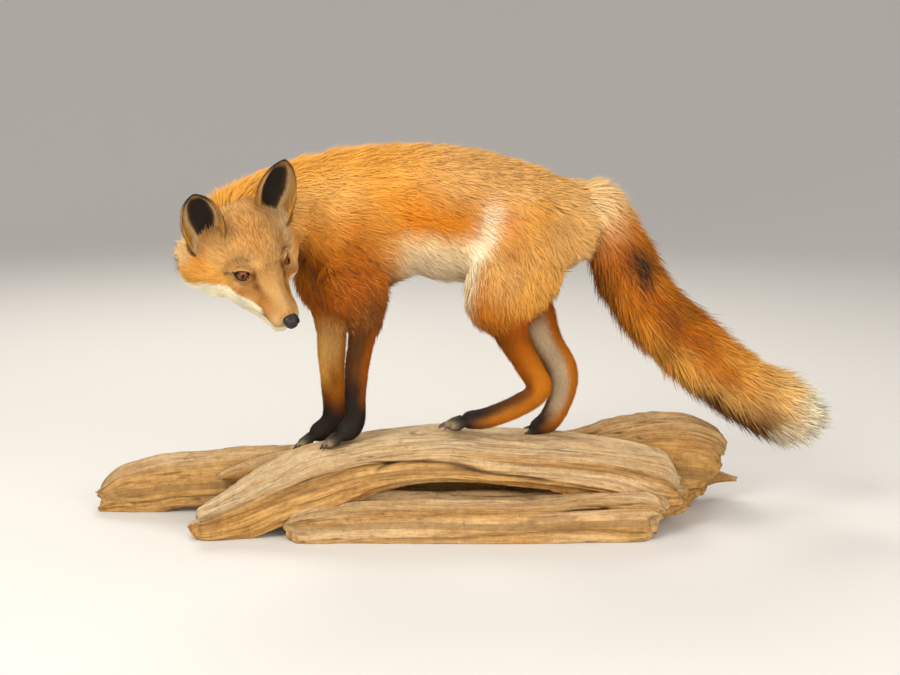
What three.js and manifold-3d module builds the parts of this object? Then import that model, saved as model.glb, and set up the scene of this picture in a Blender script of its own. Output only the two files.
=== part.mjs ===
// A life-size mounted red fox, standing on stacked driftwood and looking back over its left side.
// Millimetres, +Z up. The body lies along X with its chest towards -X, and its left side faces -Y.
// Every outline reaches the tips of the coat. Neighbouring pieces keep a clearance of GAP.
import * as THREE from "three";
import { mergeVertices } from "three/addons/utils/BufferGeometryUtils.js";
import Module from "manifold-3d";

const wasm = await Module();
wasm.setup();

// ---- driving dimensions
const GAP = 0.35;
const SLIVER = 0.04;
const EYE_RADIUS = 9;
// The eyes, in the head's own frame: forward, left, up.
const EYE_PLACES = { left: [-1.8, 27.5, -0.3], right: [-4.2, -26.5, 2.3] };
const SOCKET_HALF = [10, 10, 8]; // the scoop that opens the lids over the eye
const SOCKET_AHEAD = [8, 3.5, 4]; // from the eye to its scoop
const NOSE_HALF = [7.5, 10.5, 8.5];
const NOSE_PLACE = [65, 0, -23];
const HEAD_PLACE = [-216.5, -115, 336]; // midpoint between the eyes
const HEAD_YAW = -37.4;
const HEAD_PITCH = 41.7;
const HEAD_ROLL = 22.5;
const EAR_BASE = [-50, 46, 16];
const EAR_TIP = [-72, 61, 88];
const EAR_FRONTS = { left: [0.92, 0.1, 0.35], right: [0.85, -0.45, 0.35] };
const EAR_HALF_WIDTH = 22.5;
const EAR_WALL = 3;
const EAR_BOWL_HALF = [19, 13, 15]; // the hollow at the foot of each ear
const EAR_BOWL_PLACE = [-40, 48, 22];
const CLAW_LENGTH = 12;
const CLAW_RADIUS = 2.2;

// Rows of a body form: centre x, y, z, then the half width and the reach to the upper and the lower outline.
const TRUNK = [
  [-196, -8, 372, 40, 58, 66],
  [-170, -6, 378, 58, 82, 88],
  [-120, -2, 382, 66, 91, 96],
  [-60, 0, 392, 67, 87, 84],
  [0, 0, 392, 67, 84, 90],
  [55, 0, 386, 68, 79, 84],
  [105, 0, 380, 69, 70, 72],
  [145, 0, 382, 58, 55, 58],
  [176, 0, 388, 38, 38, 40],
];
const NECK = [
  [-118, 0, 404, 52, 58, 70],
  [-170, -8, 406, 60, 58, 76],
  [-216, -30, 397, 62, 53, 74],
  [-248, -62, 380, 60, 50, 66],
  [-262, -88, 366, 50, 42, 54],
];
// Rows along the head's own axis: forward, 0, up, then half width and the reach up and down.
const HEAD = [
  [-92, 0, -12, 46, 34, 42],
  [-74, 0, -15, 68, 50, 52],
  [-52, 0, -18, 76, 57, 55],
  [-30, 0, -19, 68, 53, 52],
  [-10, 0, -19, 54, 43, 47],
  [8, 0, -21, 40, 35, 39],
  [26, 0, -24, 28, 26, 34],
  [44, 0, -26, 21, 19, 31],
  [60, 0, -27, 15, 15, 28],
];
const TAIL = [
  [150, 0, 408, 30, 24, 30],
  [178, 1, 396, 36, 34, 36],
  [204, 3, 352, 42, 41, 42],
  [226, 5, 308, 45, 45, 46],
  [255, 7, 268, 46, 46, 48],
  [294, 9, 230, 47, 47, 48],
  [340, 11, 190, 46, 46, 47],
  [386, 13, 159, 46, 46, 46],
  [428, 14, 141, 42, 42, 42],
  [470, 14, 138, 28, 26, 28],
];
// Legs run downwards, so their last two numbers reach to the front and to the back.
const LEGS = {
  front_left: [
    [-128, -34, 352, 28, 42, 42],
    [-112, -42, 305, 27, 48, 38],
    [-103, -42, 272, 23, 31, 25],
    [-107, -39, 242, 17, 20, 18],
    [-114, -36, 206, 15, 17, 17],
    [-117, -34, 168, 14, 15, 15],
    [-118, -34, 140, 14, 14, 15],
    [-125, -34, 126, 16, 16, 16],
    [-139, -35, 118, 19, 12, 11],
  ],
  front_right: [
    [-150, 32, 352, 28, 42, 42],
    [-150, 38, 305, 27, 42, 38],
    [-148, 37, 272, 23, 32, 29],
    [-152, 34, 242, 18, 21, 20],
    [-153, 32, 212, 15, 18, 17],
    [-152, 31, 170, 14, 15, 15],
    [-151, 31, 130, 14, 14, 15],
    [-158, 31, 113, 16, 16, 16],
    [-179, 30, 101, 19, 12, 11],
  ],
  hind_left: [
    [112, -36, 384, 32, 60, 44],
    [84, -42, 330, 34, 66, 56],
    [66, -44, 286, 29, 51, 44],
    [72, -42, 256, 22, 28, 26],
    [84, -40, 228, 17, 20, 20],
    [100, -38, 200, 15, 18, 18],
    [108, -36, 178, 15, 15, 19],
    [86, -36, 158, 14, 15, 17],
    [46, -36, 141, 15, 14, 15],
    [15, -36, 137, 18, 12, 11],
  ],
  hind_right: [
    [112, 36, 384, 32, 60, 44],
    [96, 42, 330, 34, 60, 50],
    [92, 43, 288, 28, 44, 46],
    [110, 40, 256, 21, 26, 28],
    [126, 38, 224, 16, 20, 20],
    [143, 36, 194, 15, 18, 20],
    [148, 35, 170, 14, 15, 18],
    [142, 34, 142, 14, 14, 15],
    [126, 34, 118, 16, 15, 15],
    [104, 34, 108, 18, 12, 11],
  ],
};
// Where each leg is parted, as shares of its length, and the names of its lengths.
const FRONT_PARTS = { names: ["shoulder", "forearm", "paw"], ends: [0, 0.36, 0.86, 1] };
const HIND_PARTS = { names: ["thigh", "shank", "metatarsus", "paw"], ends: [0, 0.35, 0.62, 0.91, 1] };
const TAIL_PARTS = { names: ["root", "middle", "tip"], ends: [0, 0.34, 0.68, 1] };

// Driftwood rows: centre x, y, z, then half depth and the reach up and down.
const LOG_MAIN = [
  [-318, -72, 14, 14, 8, 15],
  [-300, -70, 16, 26, 18, 23],
  [-262, -58, 28, 34, 26, 30],
  [-213, -44, 48, 46, 30, 30],
  [-172, -32, 63, 56, 33, 33],
  [-125, -22, 76, 62, 29, 30],
  [-79, -18, 84, 63, 27, 27],
  [-9, -16, 90, 65, 26, 27],
  [49, -16, 86, 65, 25, 25],
  [107, -16, 82, 63, 25, 25],
  [165, -18, 76, 58, 26, 30],
  [211, -20, 68, 52, 28, 34],
  [258, -24, 52, 42, 32, 38],
  [284, -26, 44, 22, 12, 26],
  [297, -27, 44, 10, 5, 8],
];
const SLAB_FRONT = [
  [-203, -80, 13, 10, 6, 14],
  [-188, -79, 18, 20, 13, 23],
  [-160, -76, 22, 26, 18, 28],
  [-121, -70, 24, 31, 22, 30],
  [-60, -68, 25, 34, 23, 31],
  [110, -68, 25, 34, 24, 31],
  [160, -69, 27, 32, 27, 33],
  [214, -71, 28, 28, 27, 34],
  [245, -73, 27, 22, 24, 33],
  [258, -75, 22, 12, 12, 22],
];
const SLAB_LEFT = [
  [-463, 44, 16, 10, 8, 18],
  [-453, 44, 20, 17, 11, 26],
  [-425, 46, 30, 21, 24, 36],
  [-395, 46, 34, 21, 30, 40],
  [-360, 46, 38, 22, 33, 34],
  [-325, 46, 40, 22, 34, 33],
  [-275, 47, 44, 22, 36, 36],
  [-212, 50, 46, 22, 36, 38],
  [-150, 56, 46, 22, 34, 40],
  [-60, 64, 40, 20, 28, 36],
  [40, 66, 36, 18, 24, 40],
  [118, 66, 34, 12, 16, 36],
];
const BRANCH = [
  [-297, 8, 51, 5, 3, 3],
  [-280, 12, 56, 11, 7, 9],
  [-255, 16, 59, 16, 12, 14],
  [-215, 22, 63, 20, 16, 18],
  [-160, 28, 68, 22, 20, 20],
  [-120, 34, 72, 16, 14, 16],
];
const BLOCK_RIGHT = [
  [128, 74, 52, 18, 24, 36],
  [150, 75, 50, 30, 42, 56],
  [186, 76, 52, 33, 48, 58],
  [215, 77, 54, 34, 54, 60],
  [265, 78, 56, 35, 57, 62],
  [305, 79, 56, 33, 56, 62],
  [322, 80, 54, 29, 48, 60],
  [336, 82, 46, 21, 40, 50],
  [346, 84, 36, 12, 24, 36],
];
const SPIKE_RIGHT = [
  [334, 95, 29, 13, 13, 16],
  [352, 96, 30, 10, 9, 11],
  [370, 93, 28, 6, 5, 5],
  [383, 90, 27, 3, 3, 3],
];

// ---- shape tools

// The Catmull-Rom value of equal-length rows at a share of the way along them.
function sampleRows(rows, share) {
  const place = share * (rows.length - 1);
  const i = Math.min(Math.floor(place), rows.length - 2);
  const f = place - i;
  const row = (k) => rows[Math.max(0, Math.min(rows.length - 1, k))];
  const [a, b, c, d] = [row(i - 1), row(i), row(i + 1), row(i + 2)];
  return b.map((value, k) => {
    const slope = c[k] - a[k];
    const bow = 2 * a[k] - 5 * value + 4 * c[k] - d[k];
    const twist = 3 * (value - c[k]) + d[k] - a[k];
    return value + 0.5 * f * (slope + f * (bow + f * twist));
  });
}

// A closed body along rows. `ref` points roughly to the upper outline, `round` gives the length of each
// domed end and `range` takes a share of the whole. `boxy` squares the section, `pear` narrows it towards
// the top and widens it towards the bottom, and `ripple` roughens it.
function bodyAlong(rows, options) {
  const { ref, rings = 12, sides = 14, round = [0, 0], range = [0, 1] } = options;
  const { grow = 0, boxy = 1, pear = [0, 0], ripple = 0 } = options;
  const bend = (v) => Math.sign(v) * Math.abs(v) ** boxy;
  const knots = rows.map((row) => new THREE.Vector3(...row.slice(0, 3)));
  const curve = new THREE.CatmullRomCurve3(knots, false, "catmullrom");
  const length = curve.getLength();
  const [from, to] = [range[0] * length, range[1] * length];
  const domes = [15, 42, 68].map((a) => 1 - Math.cos(THREE.MathUtils.degToRad(a)));
  const places = [];
  if (round[0]) domes.forEach((q) => places.push(from + q * round[0]));
  const straight = [from + round[0], to - round[1]];
  for (let j = 0; j <= rings; j++) places.push(THREE.MathUtils.lerp(...straight, j / rings));
  if (round[1]) domes.reverse().forEach((q) => places.push(to - q * round[1]));
  const dome = (d, reach) => (reach && d < reach ? Math.sqrt(1 - (1 - d / reach) ** 2) : 1);
  const upHint = new THREE.Vector3(...ref).normalize();
  const centreAt = (d) => {
    const share = curve.getUtoTmapping(Math.min(1, d / length));
    return { share, centre: curve.getPoint(share), tangent: curve.getTangent(share) };
  };
  const points = [];
  for (const d of places) {
    const { share, centre, tangent } = centreAt(d);
    const side = new THREE.Vector3().crossVectors(tangent, upHint).normalize();
    const up = new THREE.Vector3().crossVectors(side, tangent);
    const [half, above, below] = sampleRows(rows, share).slice(3, 6);
    const [rise, fall] = [dome(d - from, round[0]), dome(to - d, round[1])];
    const scale = rise * fall;
    centre.addScaledVector(tangent, grow * ((d < to ? 1 - fall : 1) - (d > from ? 1 - rise : 1)));
    for (let k = 0; k < sides; k++) {
      const angle = (2 * Math.PI * k) / sides;
      const wave = 1 + ripple * (Math.sin(3 * angle + 0.021 * d) + 0.7 * Math.sin(5 * angle - 0.034 * d));
      const [c, s] = [Math.cos(angle), Math.sin(angle)];
      const lean = 1 - s * (s > 0 ? pear[0] : pear[1]);
      const across = bend(c) * half * lean * wave * scale + c * grow;
      const high = bend(s) * (s > 0 ? above : below) * wave * scale + s * grow;
      points.push(centre.clone().addScaledVector(side, across).addScaledVector(up, high));
    }
  }
  const last = (places.length - 1) * sides;
  const ends = [centreAt(from), centreAt(to)];
  ends.forEach(({ centre, tangent }, i) => points.push(centre.addScaledVector(tangent, i ? grow : -grow)));
  const faces = [];
  for (let k = 0; k < sides; k++) {
    const next = (k + 1) % sides;
    faces.push(points.length - 2, k, next, points.length - 1, last + next, last + k);
    for (let j = 0; j < last; j += sides) {
      faces.push(j + k, j + sides + k, j + next, j + next, j + sides + k, j + sides + next);
    }
  }
  return new THREE.BufferGeometry().setFromPoints(points).setIndex(faces);
}

// A three.js geometry as a manifold solid, placed by an optional matrix.
function solid(geometry, matrix = new THREE.Matrix4()) {
  const bare = new THREE.BufferGeometry();
  bare.setAttribute("position", geometry.getAttribute("position").clone());
  bare.setIndex(geometry.index);
  bare.applyMatrix4(matrix);
  const merged = mergeVertices(bare, 1e-3);
  return new wasm.Manifold(
    new wasm.Mesh({
      numProp: 3,
      vertProperties: merged.attributes.position.array,
      triVerts: new Uint32Array(merged.index.array),
    }),
  );
}

const join = (solids) => solids.reduce((a, b) => a.add(b));
const cut = (body, tools) => tools.reduce((a, b) => a.subtract(b), body);
const largest = (body) => body.decompose().reduce((a, b) => (b.volume() > a.volume() ? b : a));

// A named mesh from the largest piece of a solid, without the slivers its cuts leave.
function piece(name, body, material) {
  const { numProp, vertProperties, triVerts } = largest(body.simplify(SLIVER)).getMesh();
  const geometry = new THREE.BufferGeometry()
    .setAttribute("position", new THREE.BufferAttribute(new Float32Array(vertProperties), numProp))
    .setIndex(new THREE.BufferAttribute(triVerts, 1));
  geometry.computeVertexNormals();
  const mesh = new THREE.Mesh(geometry, material);
  mesh.name = name;
  return mesh;
}

// A stretched ball, grown by the clearance where it is a cutting tool.
function ball(half, place, { grow = 0, matrix = new THREE.Matrix4(), detail = [12, 8] } = {}) {
  const shape = new THREE.SphereGeometry(1, detail[0], detail[1]);
  shape.scale(half[0] + grow, half[1] + grow, half[2] + grow);
  shape.translate(place[0], place[1], place[2]);
  return solid(shape, matrix);
}

// ---- materials
const finish = (color, roughness) =>
  new THREE.MeshStandardMaterial({ color, roughness, metalness: 0 });
const COAT = finish(0xcf8a45, 0.9);
const STOCKING = finish(0x2b201c, 0.9);
const EAR_SKIN = finish(0x4a2c1c, 0.9);
const EYE_GLASS = finish(0x8a3f12, 0.1);
const NOSE_LEATHER = finish(0x1c1c1e, 0.45);
const DRIFTWOOD = finish(0xbd9a68, 0.85);

// ---- driftwood
const floor = solid(new THREE.BoxGeometry(1400, 800, 200), new THREE.Matrix4().makeTranslation(0, 0, -100));
const UP = [0, 0, 1];
const wood = (rows, round, rings, grow = 0) =>
  solid(bodyAlong(rows, { ref: UP, sides: 10, rings, round, boxy: 0.62, ripple: 0.03, grow }));

const logMain = cut(wood(LOG_MAIN, [14, 14], 16), [floor]);
const logMainGrown = wood(LOG_MAIN, [14, 14], 16, GAP);
const branch = cut(wood(BRANCH, [3, 10], 8), [logMainGrown]);
const branchGrown = wood(BRANCH, [3, 10], 8, GAP);
const slabFront = cut(wood(SLAB_FRONT, [8, 8], 11), [floor, logMainGrown]);
const slabFrontGrown = wood(SLAB_FRONT, [8, 8], 11, GAP);
const slabLeft = cut(wood(SLAB_LEFT, [8, 8], 13), [floor, logMainGrown, branchGrown]);
const slabLeftGrown = wood(SLAB_LEFT, [8, 8], 13, GAP);
const blockRight = cut(wood(BLOCK_RIGHT, [10, 8], 8), [floor, logMainGrown, slabFrontGrown, slabLeftGrown]);
const blockRightGrown = wood(BLOCK_RIGHT, [10, 8], 8, GAP);
const spikeRight = cut(wood(SPIKE_RIGHT, [6, 0], 3), [floor, blockRightGrown]);
const perches = [logMainGrown, branchGrown, slabLeftGrown];

// ---- trunk, neck and tail
const trunkAt = (grow) => solid(bodyAlong(TRUNK, { ref: UP, rings: 12, sides: 16, round: [34, 26], grow }));
const neckAt = (grow) => solid(bodyAlong(NECK, { ref: UP, rings: 8, sides: 16, round: [20, 24], grow }));
const trunk = trunkAt(0);
const trunkGrown = trunkAt(GAP);
const neckGrown = neckAt(GAP);

// ---- head, in its own frame: +X forward, +Y left, +Z up, origin midway between the eyes
const headFrame = new THREE.Matrix4().compose(
  new THREE.Vector3(...HEAD_PLACE),
  new THREE.Quaternion().setFromEuler(
    new THREE.Euler(...[HEAD_ROLL, HEAD_PITCH, HEAD_YAW].map(THREE.MathUtils.degToRad), "ZYX"),
  ),
  new THREE.Vector3(1, 1, 1),
);
const SIDES = { left: 1, right: -1 };
const mirrored = (place, side) => [place[0], place[1] * side, place[2]];
const SKULL_SECTION = { sides: 16, boxy: 0.85, pear: [0.5, 0.12] };
const skullAt = (grow) =>
  solid(bodyAlong(HEAD, { ...SKULL_SECTION, ref: UP, rings: 11, round: [22, 7], grow }), headFrame);
const eyeAt = (name, grow) =>
  ball([EYE_RADIUS, EYE_RADIUS, EYE_RADIUS], EYE_PLACES[name], { grow, matrix: headFrame });
const socketAt = (name) => {
  const ahead = mirrored(SOCKET_AHEAD, SIDES[name]);
  return ball(SOCKET_HALF, EYE_PLACES[name].map((v, k) => v + ahead[k]), { matrix: headFrame });
};
const noseAt = (grow) => ball(NOSE_HALF, NOSE_PLACE, { grow, matrix: headFrame });
const earBowlAt = (name) =>
  ball(EAR_BOWL_HALF, mirrored(EAR_BOWL_PLACE, SIDES[name]), { matrix: headFrame });
const hollows = Object.keys(SIDES).flatMap((name) => [eyeAt(name, GAP), socketAt(name), earBowlAt(name)]);
const head = cut(skullAt(0), [...hollows, noseAt(GAP)]);
const headGrown = skullAt(GAP);

// An ear: a cupped wall. Its half width at height v is
// EAR_HALF_WIDTH * (0.7 + 1.05 v - 0.55 v^2) * sqrt(1 - v^3).
function ear(name) {
  const base = new THREE.Vector3(...mirrored(EAR_BASE, SIDES[name]));
  const axis = new THREE.Vector3(...mirrored(EAR_TIP, SIDES[name])).sub(base);
  const front = new THREE.Vector3(...EAR_FRONTS[name]);
  const across = new THREE.Vector3().crossVectors(axis, front).normalize();
  front.crossVectors(across, axis).normalize();
  const [levels, steps] = [8, 8];
  const points = [];
  for (const wall of [0, EAR_WALL]) {
    for (let j = 0; j <= levels; j++) {
      const v = -0.18 + 1.17 * (j / levels);
      const shape = (0.7 + 1.05 * Math.max(v, 0) - 0.55 * v * v) * Math.sqrt(1 - Math.max(v, 0) ** 3);
      const half = EAR_HALF_WIDTH * shape;
      const depth = half * (1.05 - 0.5 * v);
      for (let k = 0; k <= steps; k++) {
        const angle = THREE.MathUtils.degToRad(-105 + (210 * k) / steps);
        points.push(
          base
            .clone()
            .addScaledVector(axis, v)
            .addScaledVector(across, Math.sin(angle) * Math.max(half - wall, 0.6))
            .addScaledVector(front, -Math.cos(angle) * Math.max(depth - wall, 0.4) - 0.26 * depth),
        );
      }
    }
  }
  const width = steps + 1;
  const layer = (levels + 1) * width;
  const faces = [];
  const quad = (a, b, c, d) => faces.push(a, b, c, a, c, d);
  for (let j = 0; j < levels; j++) {
    for (let k = 0; k < steps; k++) {
      const a = j * width + k;
      quad(a, a + width, a + width + 1, a + 1);
      quad(layer + a, layer + a + 1, layer + a + width + 1, layer + a + width);
    }
    for (const k of [0, steps]) {
      const a = j * width + k;
      const ring = [a, layer + a, layer + a + width, a + width];
      quad(...(k ? ring.reverse() : ring));
    }
  }
  for (let k = 0; k < steps; k++) {
    const top = levels * width + k;
    quad(k, k + 1, layer + k + 1, layer + k);
    quad(top + 1, top, layer + top, layer + top + 1);
  }
  const shell = solid(new THREE.BufferGeometry().setFromPoints(points).setIndex(faces), headFrame);
  return cut(shell, [headGrown, neckGrown]);
}

// ---- legs
const LEG_REF = [-1, 0, 1];
const LEG_FINISHES = {
  shoulder: COAT,
  forearm: COAT,
  thigh: COAT,
  shank: COAT,
  metatarsus: STOCKING,
  paw: STOCKING,
};

// Four toes and their claws, fanned out ahead of the foot of a leg.
function toes(rows) {
  const foot = new THREE.Vector3(...rows.at(-1).slice(0, 3));
  const ahead = foot.clone().sub(new THREE.Vector3(...rows.at(-2).slice(0, 3)));
  ahead.normalize();
  const slope = Math.atan2(ahead.z, -ahead.x);
  const made = [];
  for (const [across, forward] of [[-15, 2], [-5.5, 9], [5.5, 9], [15, 2]]) {
    const place = new THREE.Matrix4()
      .makeTranslation(foot.x, foot.y, foot.z)
      .multiply(new THREE.Matrix4().makeRotationY(slope))
      .multiply(new THREE.Matrix4().makeTranslation(-forward - 4, across, -3));
    made.push(ball([12, 6, 7.5], [0, 0, 0], { matrix: place, detail: [6, 4] }));
    const claw = new THREE.ConeGeometry(CLAW_RADIUS, CLAW_LENGTH, 5);
    claw.rotateZ(THREE.MathUtils.degToRad(105));
    claw.translate(-15, 0, -1);
    made.push(solid(claw, place));
  }
  return made;
}

function legPieces(name, rows, { names, ends }) {
  const lengthAt = (i, grow) => {
    const lastPart = i === names.length - 1;
    const range = [ends[i] + (i ? GAP / 300 : 0), ends[i + 1]];
    const round = [i ? 0 : 16, lastPart ? 10 : 0];
    return solid(bodyAlong(rows, { ref: LEG_REF, sides: 12, rings: lastPart ? 3 : 5, range, round, grow }));
  };
  return names.map((part, i) => {
    const body = i === names.length - 1 ? join([lengthAt(i, 0), ...toes(rows)]) : lengthAt(i, 0);
    const above = i ? [lengthAt(i - 1, GAP)] : [trunkGrown, neckGrown];
    const below = part === "paw" ? perches : [];
    return piece(`${name}_${part}`, cut(body, [...above, ...below]), LEG_FINISHES[part]);
  });
}

function tailPieces() {
  return TAIL_PARTS.names.map((part, i) => {
    const ends = TAIL_PARTS.ends;
    const range = [ends[i] + (i ? GAP / 500 : 0), ends[i + 1]];
    const round = [i ? 0 : 10, i === 2 ? 26 : 0];
    const body = solid(bodyAlong(TAIL, { ref: UP, sides: 14, rings: 6, range, round }));
    return piece(`tail_${part}`, i ? body : cut(body, [trunkGrown]), COAT);
  });
}

// ---- the whole model
const fox = new THREE.Group();
const neck = cut(neckAt(0), [trunkGrown]);
fox.add(
  piece("trunk", trunk, COAT),
  piece("neck", cut(neck, [headGrown]), COAT),
  piece("head", head, COAT),
  piece("nose", noseAt(0), NOSE_LEATHER),
  piece("eye_left", eyeAt("left", 0), EYE_GLASS),
  piece("eye_right", eyeAt("right", 0), EYE_GLASS),
  piece("ear_left", ear("left"), EAR_SKIN),
  piece("ear_right", ear("right"), EAR_SKIN),
  ...tailPieces(),
  ...Object.entries(LEGS).flatMap(([name, rows]) =>
    legPieces(name, rows, name.startsWith("front") ? FRONT_PARTS : HIND_PARTS),
  ),
  piece("base_log_main", logMain, DRIFTWOOD),
  piece("base_branch", branch, DRIFTWOOD),
  piece("base_slab_front", slabFront, DRIFTWOOD),
  piece("base_slab_left", slabLeft, DRIFTWOOD),
  piece("base_block_right", blockRight, DRIFTWOOD),
  piece("base_spike_right", spikeRight, DRIFTWOOD),
);

// The origin is the middle of the underside of the whole model.
const box = new THREE.Box3().setFromObject(fox);
const middle = box.getCenter(new THREE.Vector3());
fox.position.set(-middle.x, -middle.y, -box.min.z);

export default fox;
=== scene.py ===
import math

import bpy
import numpy as np
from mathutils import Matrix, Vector


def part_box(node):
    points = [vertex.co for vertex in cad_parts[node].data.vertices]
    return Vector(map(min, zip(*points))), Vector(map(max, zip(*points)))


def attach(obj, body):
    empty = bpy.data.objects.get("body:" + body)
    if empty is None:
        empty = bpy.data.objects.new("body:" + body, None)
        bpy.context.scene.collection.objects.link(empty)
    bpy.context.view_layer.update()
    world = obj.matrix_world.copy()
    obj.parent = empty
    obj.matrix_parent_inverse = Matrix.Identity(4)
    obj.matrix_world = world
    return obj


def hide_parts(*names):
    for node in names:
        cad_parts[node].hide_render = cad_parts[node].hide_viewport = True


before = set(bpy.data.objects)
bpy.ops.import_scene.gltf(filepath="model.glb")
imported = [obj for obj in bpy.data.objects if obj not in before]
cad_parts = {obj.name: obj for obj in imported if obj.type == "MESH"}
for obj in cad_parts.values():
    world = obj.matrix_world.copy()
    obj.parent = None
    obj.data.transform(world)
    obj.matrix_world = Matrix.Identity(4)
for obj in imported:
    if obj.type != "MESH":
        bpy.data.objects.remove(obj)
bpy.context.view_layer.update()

# Lengths below are millimetres in the maker's own layout: the body lies along X with its chest
# towards -X, its left side faces -Y and the floor is z = 0. toFrame() puts them in the frame.

headSet = {
    "place": (-216.5, -115.0, 336.0),  # midway between the eyes
    "yaw": -37.4,
    "pitch": 41.7,
    "roll": 22.5,
}
eyeSet = {
    "radius": 9.0,
    "left": (-1.8, 27.5, -0.3),  # forward, left, up in the head
    "right": (-4.2, -26.5, 2.3),
    "gaze": (0.75, 0.5, 0.42),  # of the left eye
    "inner": (0.6, -0.76, 0.05),  # from its outer to its inner corner
    "irisRadius": 7.4,
    "pupil": (2.4, 3.5),
    "almond": (72.0, 39.0, 33.0),  # half angles of the lids' opening: across, above, below
}
sides = {"left": 1.0, "right": -1.0}


def unit(v):
    v = np.asarray(v, float)
    return v / np.maximum(np.linalg.norm(v, axis=-1, keepdims=True), 1e-12)


def smooth(low, high, v):  # 0 below low, 1 above high, with an S between them
    x = np.clip((np.asarray(v, float) - low) / (high - low), 0, 1)
    return x * x * (3 - 2 * x)


def hump(v, size):  # 1 at nought, falling away on both sides: exp(-(v / size)^2)
    return np.exp(-((v / size) ** 2))


def dot(a, b):
    return (np.asarray(a) * np.asarray(b)).sum(-1)


def turnedBy(yaw, pitch, roll):  # forward, left and up directions as the rows of a matrix
    cy, sy, cp, sp, cr, sr = (f(math.radians(v)) for v in (yaw, pitch, roll) for f in (math.cos, math.sin))
    rz = np.array([[cy, -sy, 0], [sy, cy, 0], [0, 0, 1]])
    ry = np.array([[cp, 0, sp], [0, 1, 0], [-sp, 0, cp]])
    rx = np.array([[1, 0, 0], [0, cr, -sr], [0, sr, cr]])
    return (rz @ ry @ rx).T


headAxes = turnedBy(headSet["yaw"], headSet["pitch"], headSet["roll"])


def headToWorld(points):
    return np.asarray(points, float) @ headAxes + np.array(headSet["place"])


def worldToHead(points):
    return (np.asarray(points, float) - np.array(headSet["place"])) @ headAxes.T


def mirrored(place, side):
    return np.asarray(place, float) * np.array([1, side, 1])


def onLeft(points):  # the same places, those on the right side mirrored to the left
    return np.abs(points * [0, 1, 0]) + points * [1, 0, 1]


eyeLow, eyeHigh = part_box("eye_left")
shift = (np.array(eyeLow) + np.array(eyeHigh)) / 2 - headToWorld(eyeSet["left"]) / 1000


def toFrame(points):
    return np.asarray(points, float) / 1000 + shift


# repeatable noise


def cornerValue(i, j, k, seed):  # a fixed value from -1 to 1 for each corner of a lattice
    n = (i * 73856093) ^ (j * 19349663) ^ (k * 83492791) ^ (seed * 374761393)
    n = ((n ^ (n >> 13)) & 0x7FFFFFFF) * 1274126177
    n = (n ^ (n >> 16)) & 0xFFFF
    return n / 32767.5 - 1.0


def noise(points, size, seed=0):  # corner values blended by smooth steps, one wave per size
    q = np.asarray(points, float) / np.asarray(size, float)
    cell = np.floor(q).astype(np.int64)
    f = q - cell
    f = f * f * (3 - 2 * f)
    total = 0.0
    for a in (0, 1):
        for b in (0, 1):
            for c in (0, 1):
                w = np.where(a, f[..., 0], 1 - f[..., 0]) * np.where(b, f[..., 1], 1 - f[..., 1])
                w = w * np.where(c, f[..., 2], 1 - f[..., 2])
                total = total + w * cornerValue(cell[..., 0] + a, cell[..., 1] + b, cell[..., 2] + c, seed)
    return total


def fractal(points, size, octaves=3, seed=0):
    size = np.asarray(size, float)
    return sum(noise(points, size / 2**k, seed + 17 * k) / 2**k for k in range(octaves))


# paths with a section


def catmull(rows, share):  # each column's Catmull-Rom value at a share of the way along the rows
    rows = np.asarray(rows, float)
    share = np.asarray(share, float)
    padded = np.vstack([2 * rows[0] - rows[1], rows, 2 * rows[-1] - rows[-2]])
    place = np.clip(share, 0, 1) * (len(rows) - 1)
    i = np.minimum(place.astype(int), len(rows) - 2)
    f = (place - i)[:, None]
    a, b, c, d = (padded[i + k] for k in range(4))
    return b + 0.5 * f * (c - a + f * (2 * a - 5 * b + 4 * c - d + f * (3 * (b - c) + d - a)))


class Path:
    # rows sampled at distances d along their curve, with the section's directions and reaches
    def __init__(self, rows, ref, places=None, step=4.0):
        dense = np.linspace(0, 1, 1200)
        line = catmull(rows, dense)[:, :3]
        gone = np.concatenate([[0], np.cumsum(np.linalg.norm(np.diff(line, axis=0), axis=1))])
        self.length = gone[-1]
        self.d = np.linspace(0, self.length, int(self.length / step) + 1) if places is None else places
        share = np.interp(self.d, gone, dense)
        row = catmull(rows, share)
        ahead = catmull(rows, np.minimum(share + 1e-3, 1))[:, :3]
        self.t = self.d / self.length
        self.centre = row[:, :3]
        self.tangent = unit(ahead - catmull(rows, np.maximum(share - 1e-3, 0))[:, :3])
        self.side = unit(np.cross(self.tangent, ref))
        self.up = np.cross(self.side, self.tangent)
        self.half, self.above, self.below = row[:, 3], row[:, 4], row[:, 5]


def domedPlaces(length, round, step, start=0.0):  # distances closer together over the domed ends
    quarter = 1 - np.cos(np.linspace(0.12, np.pi / 2, 7)[:-1])
    first = start + quarter * round[0] if round[0] else np.zeros(0)
    last = (length - quarter * round[1])[::-1] if round[1] else np.zeros(0)
    low, high = start + round[0], length - round[1]
    return np.concatenate([first, np.linspace(low, high, max(2, int((high - low) / step) + 1)), last])


def lengthOf(rows):
    line = catmull(rows, np.linspace(0, 1, 1200))[:, :3]
    return np.linalg.norm(np.diff(line, axis=0), axis=1).sum()


def ringGrid(rings, around, closed=True):  # quads over a grid of rings, wrapping round when closed
    i, k = np.meshgrid(np.arange(rings - 1), np.arange(around if closed else around - 1), indexing="ij")
    n = (k + 1) % around
    quads = np.stack([i * around + k, i * around + n, (i + 1) * around + n, (i + 1) * around + k], -1)
    return quads.reshape(-1, 4)


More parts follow.
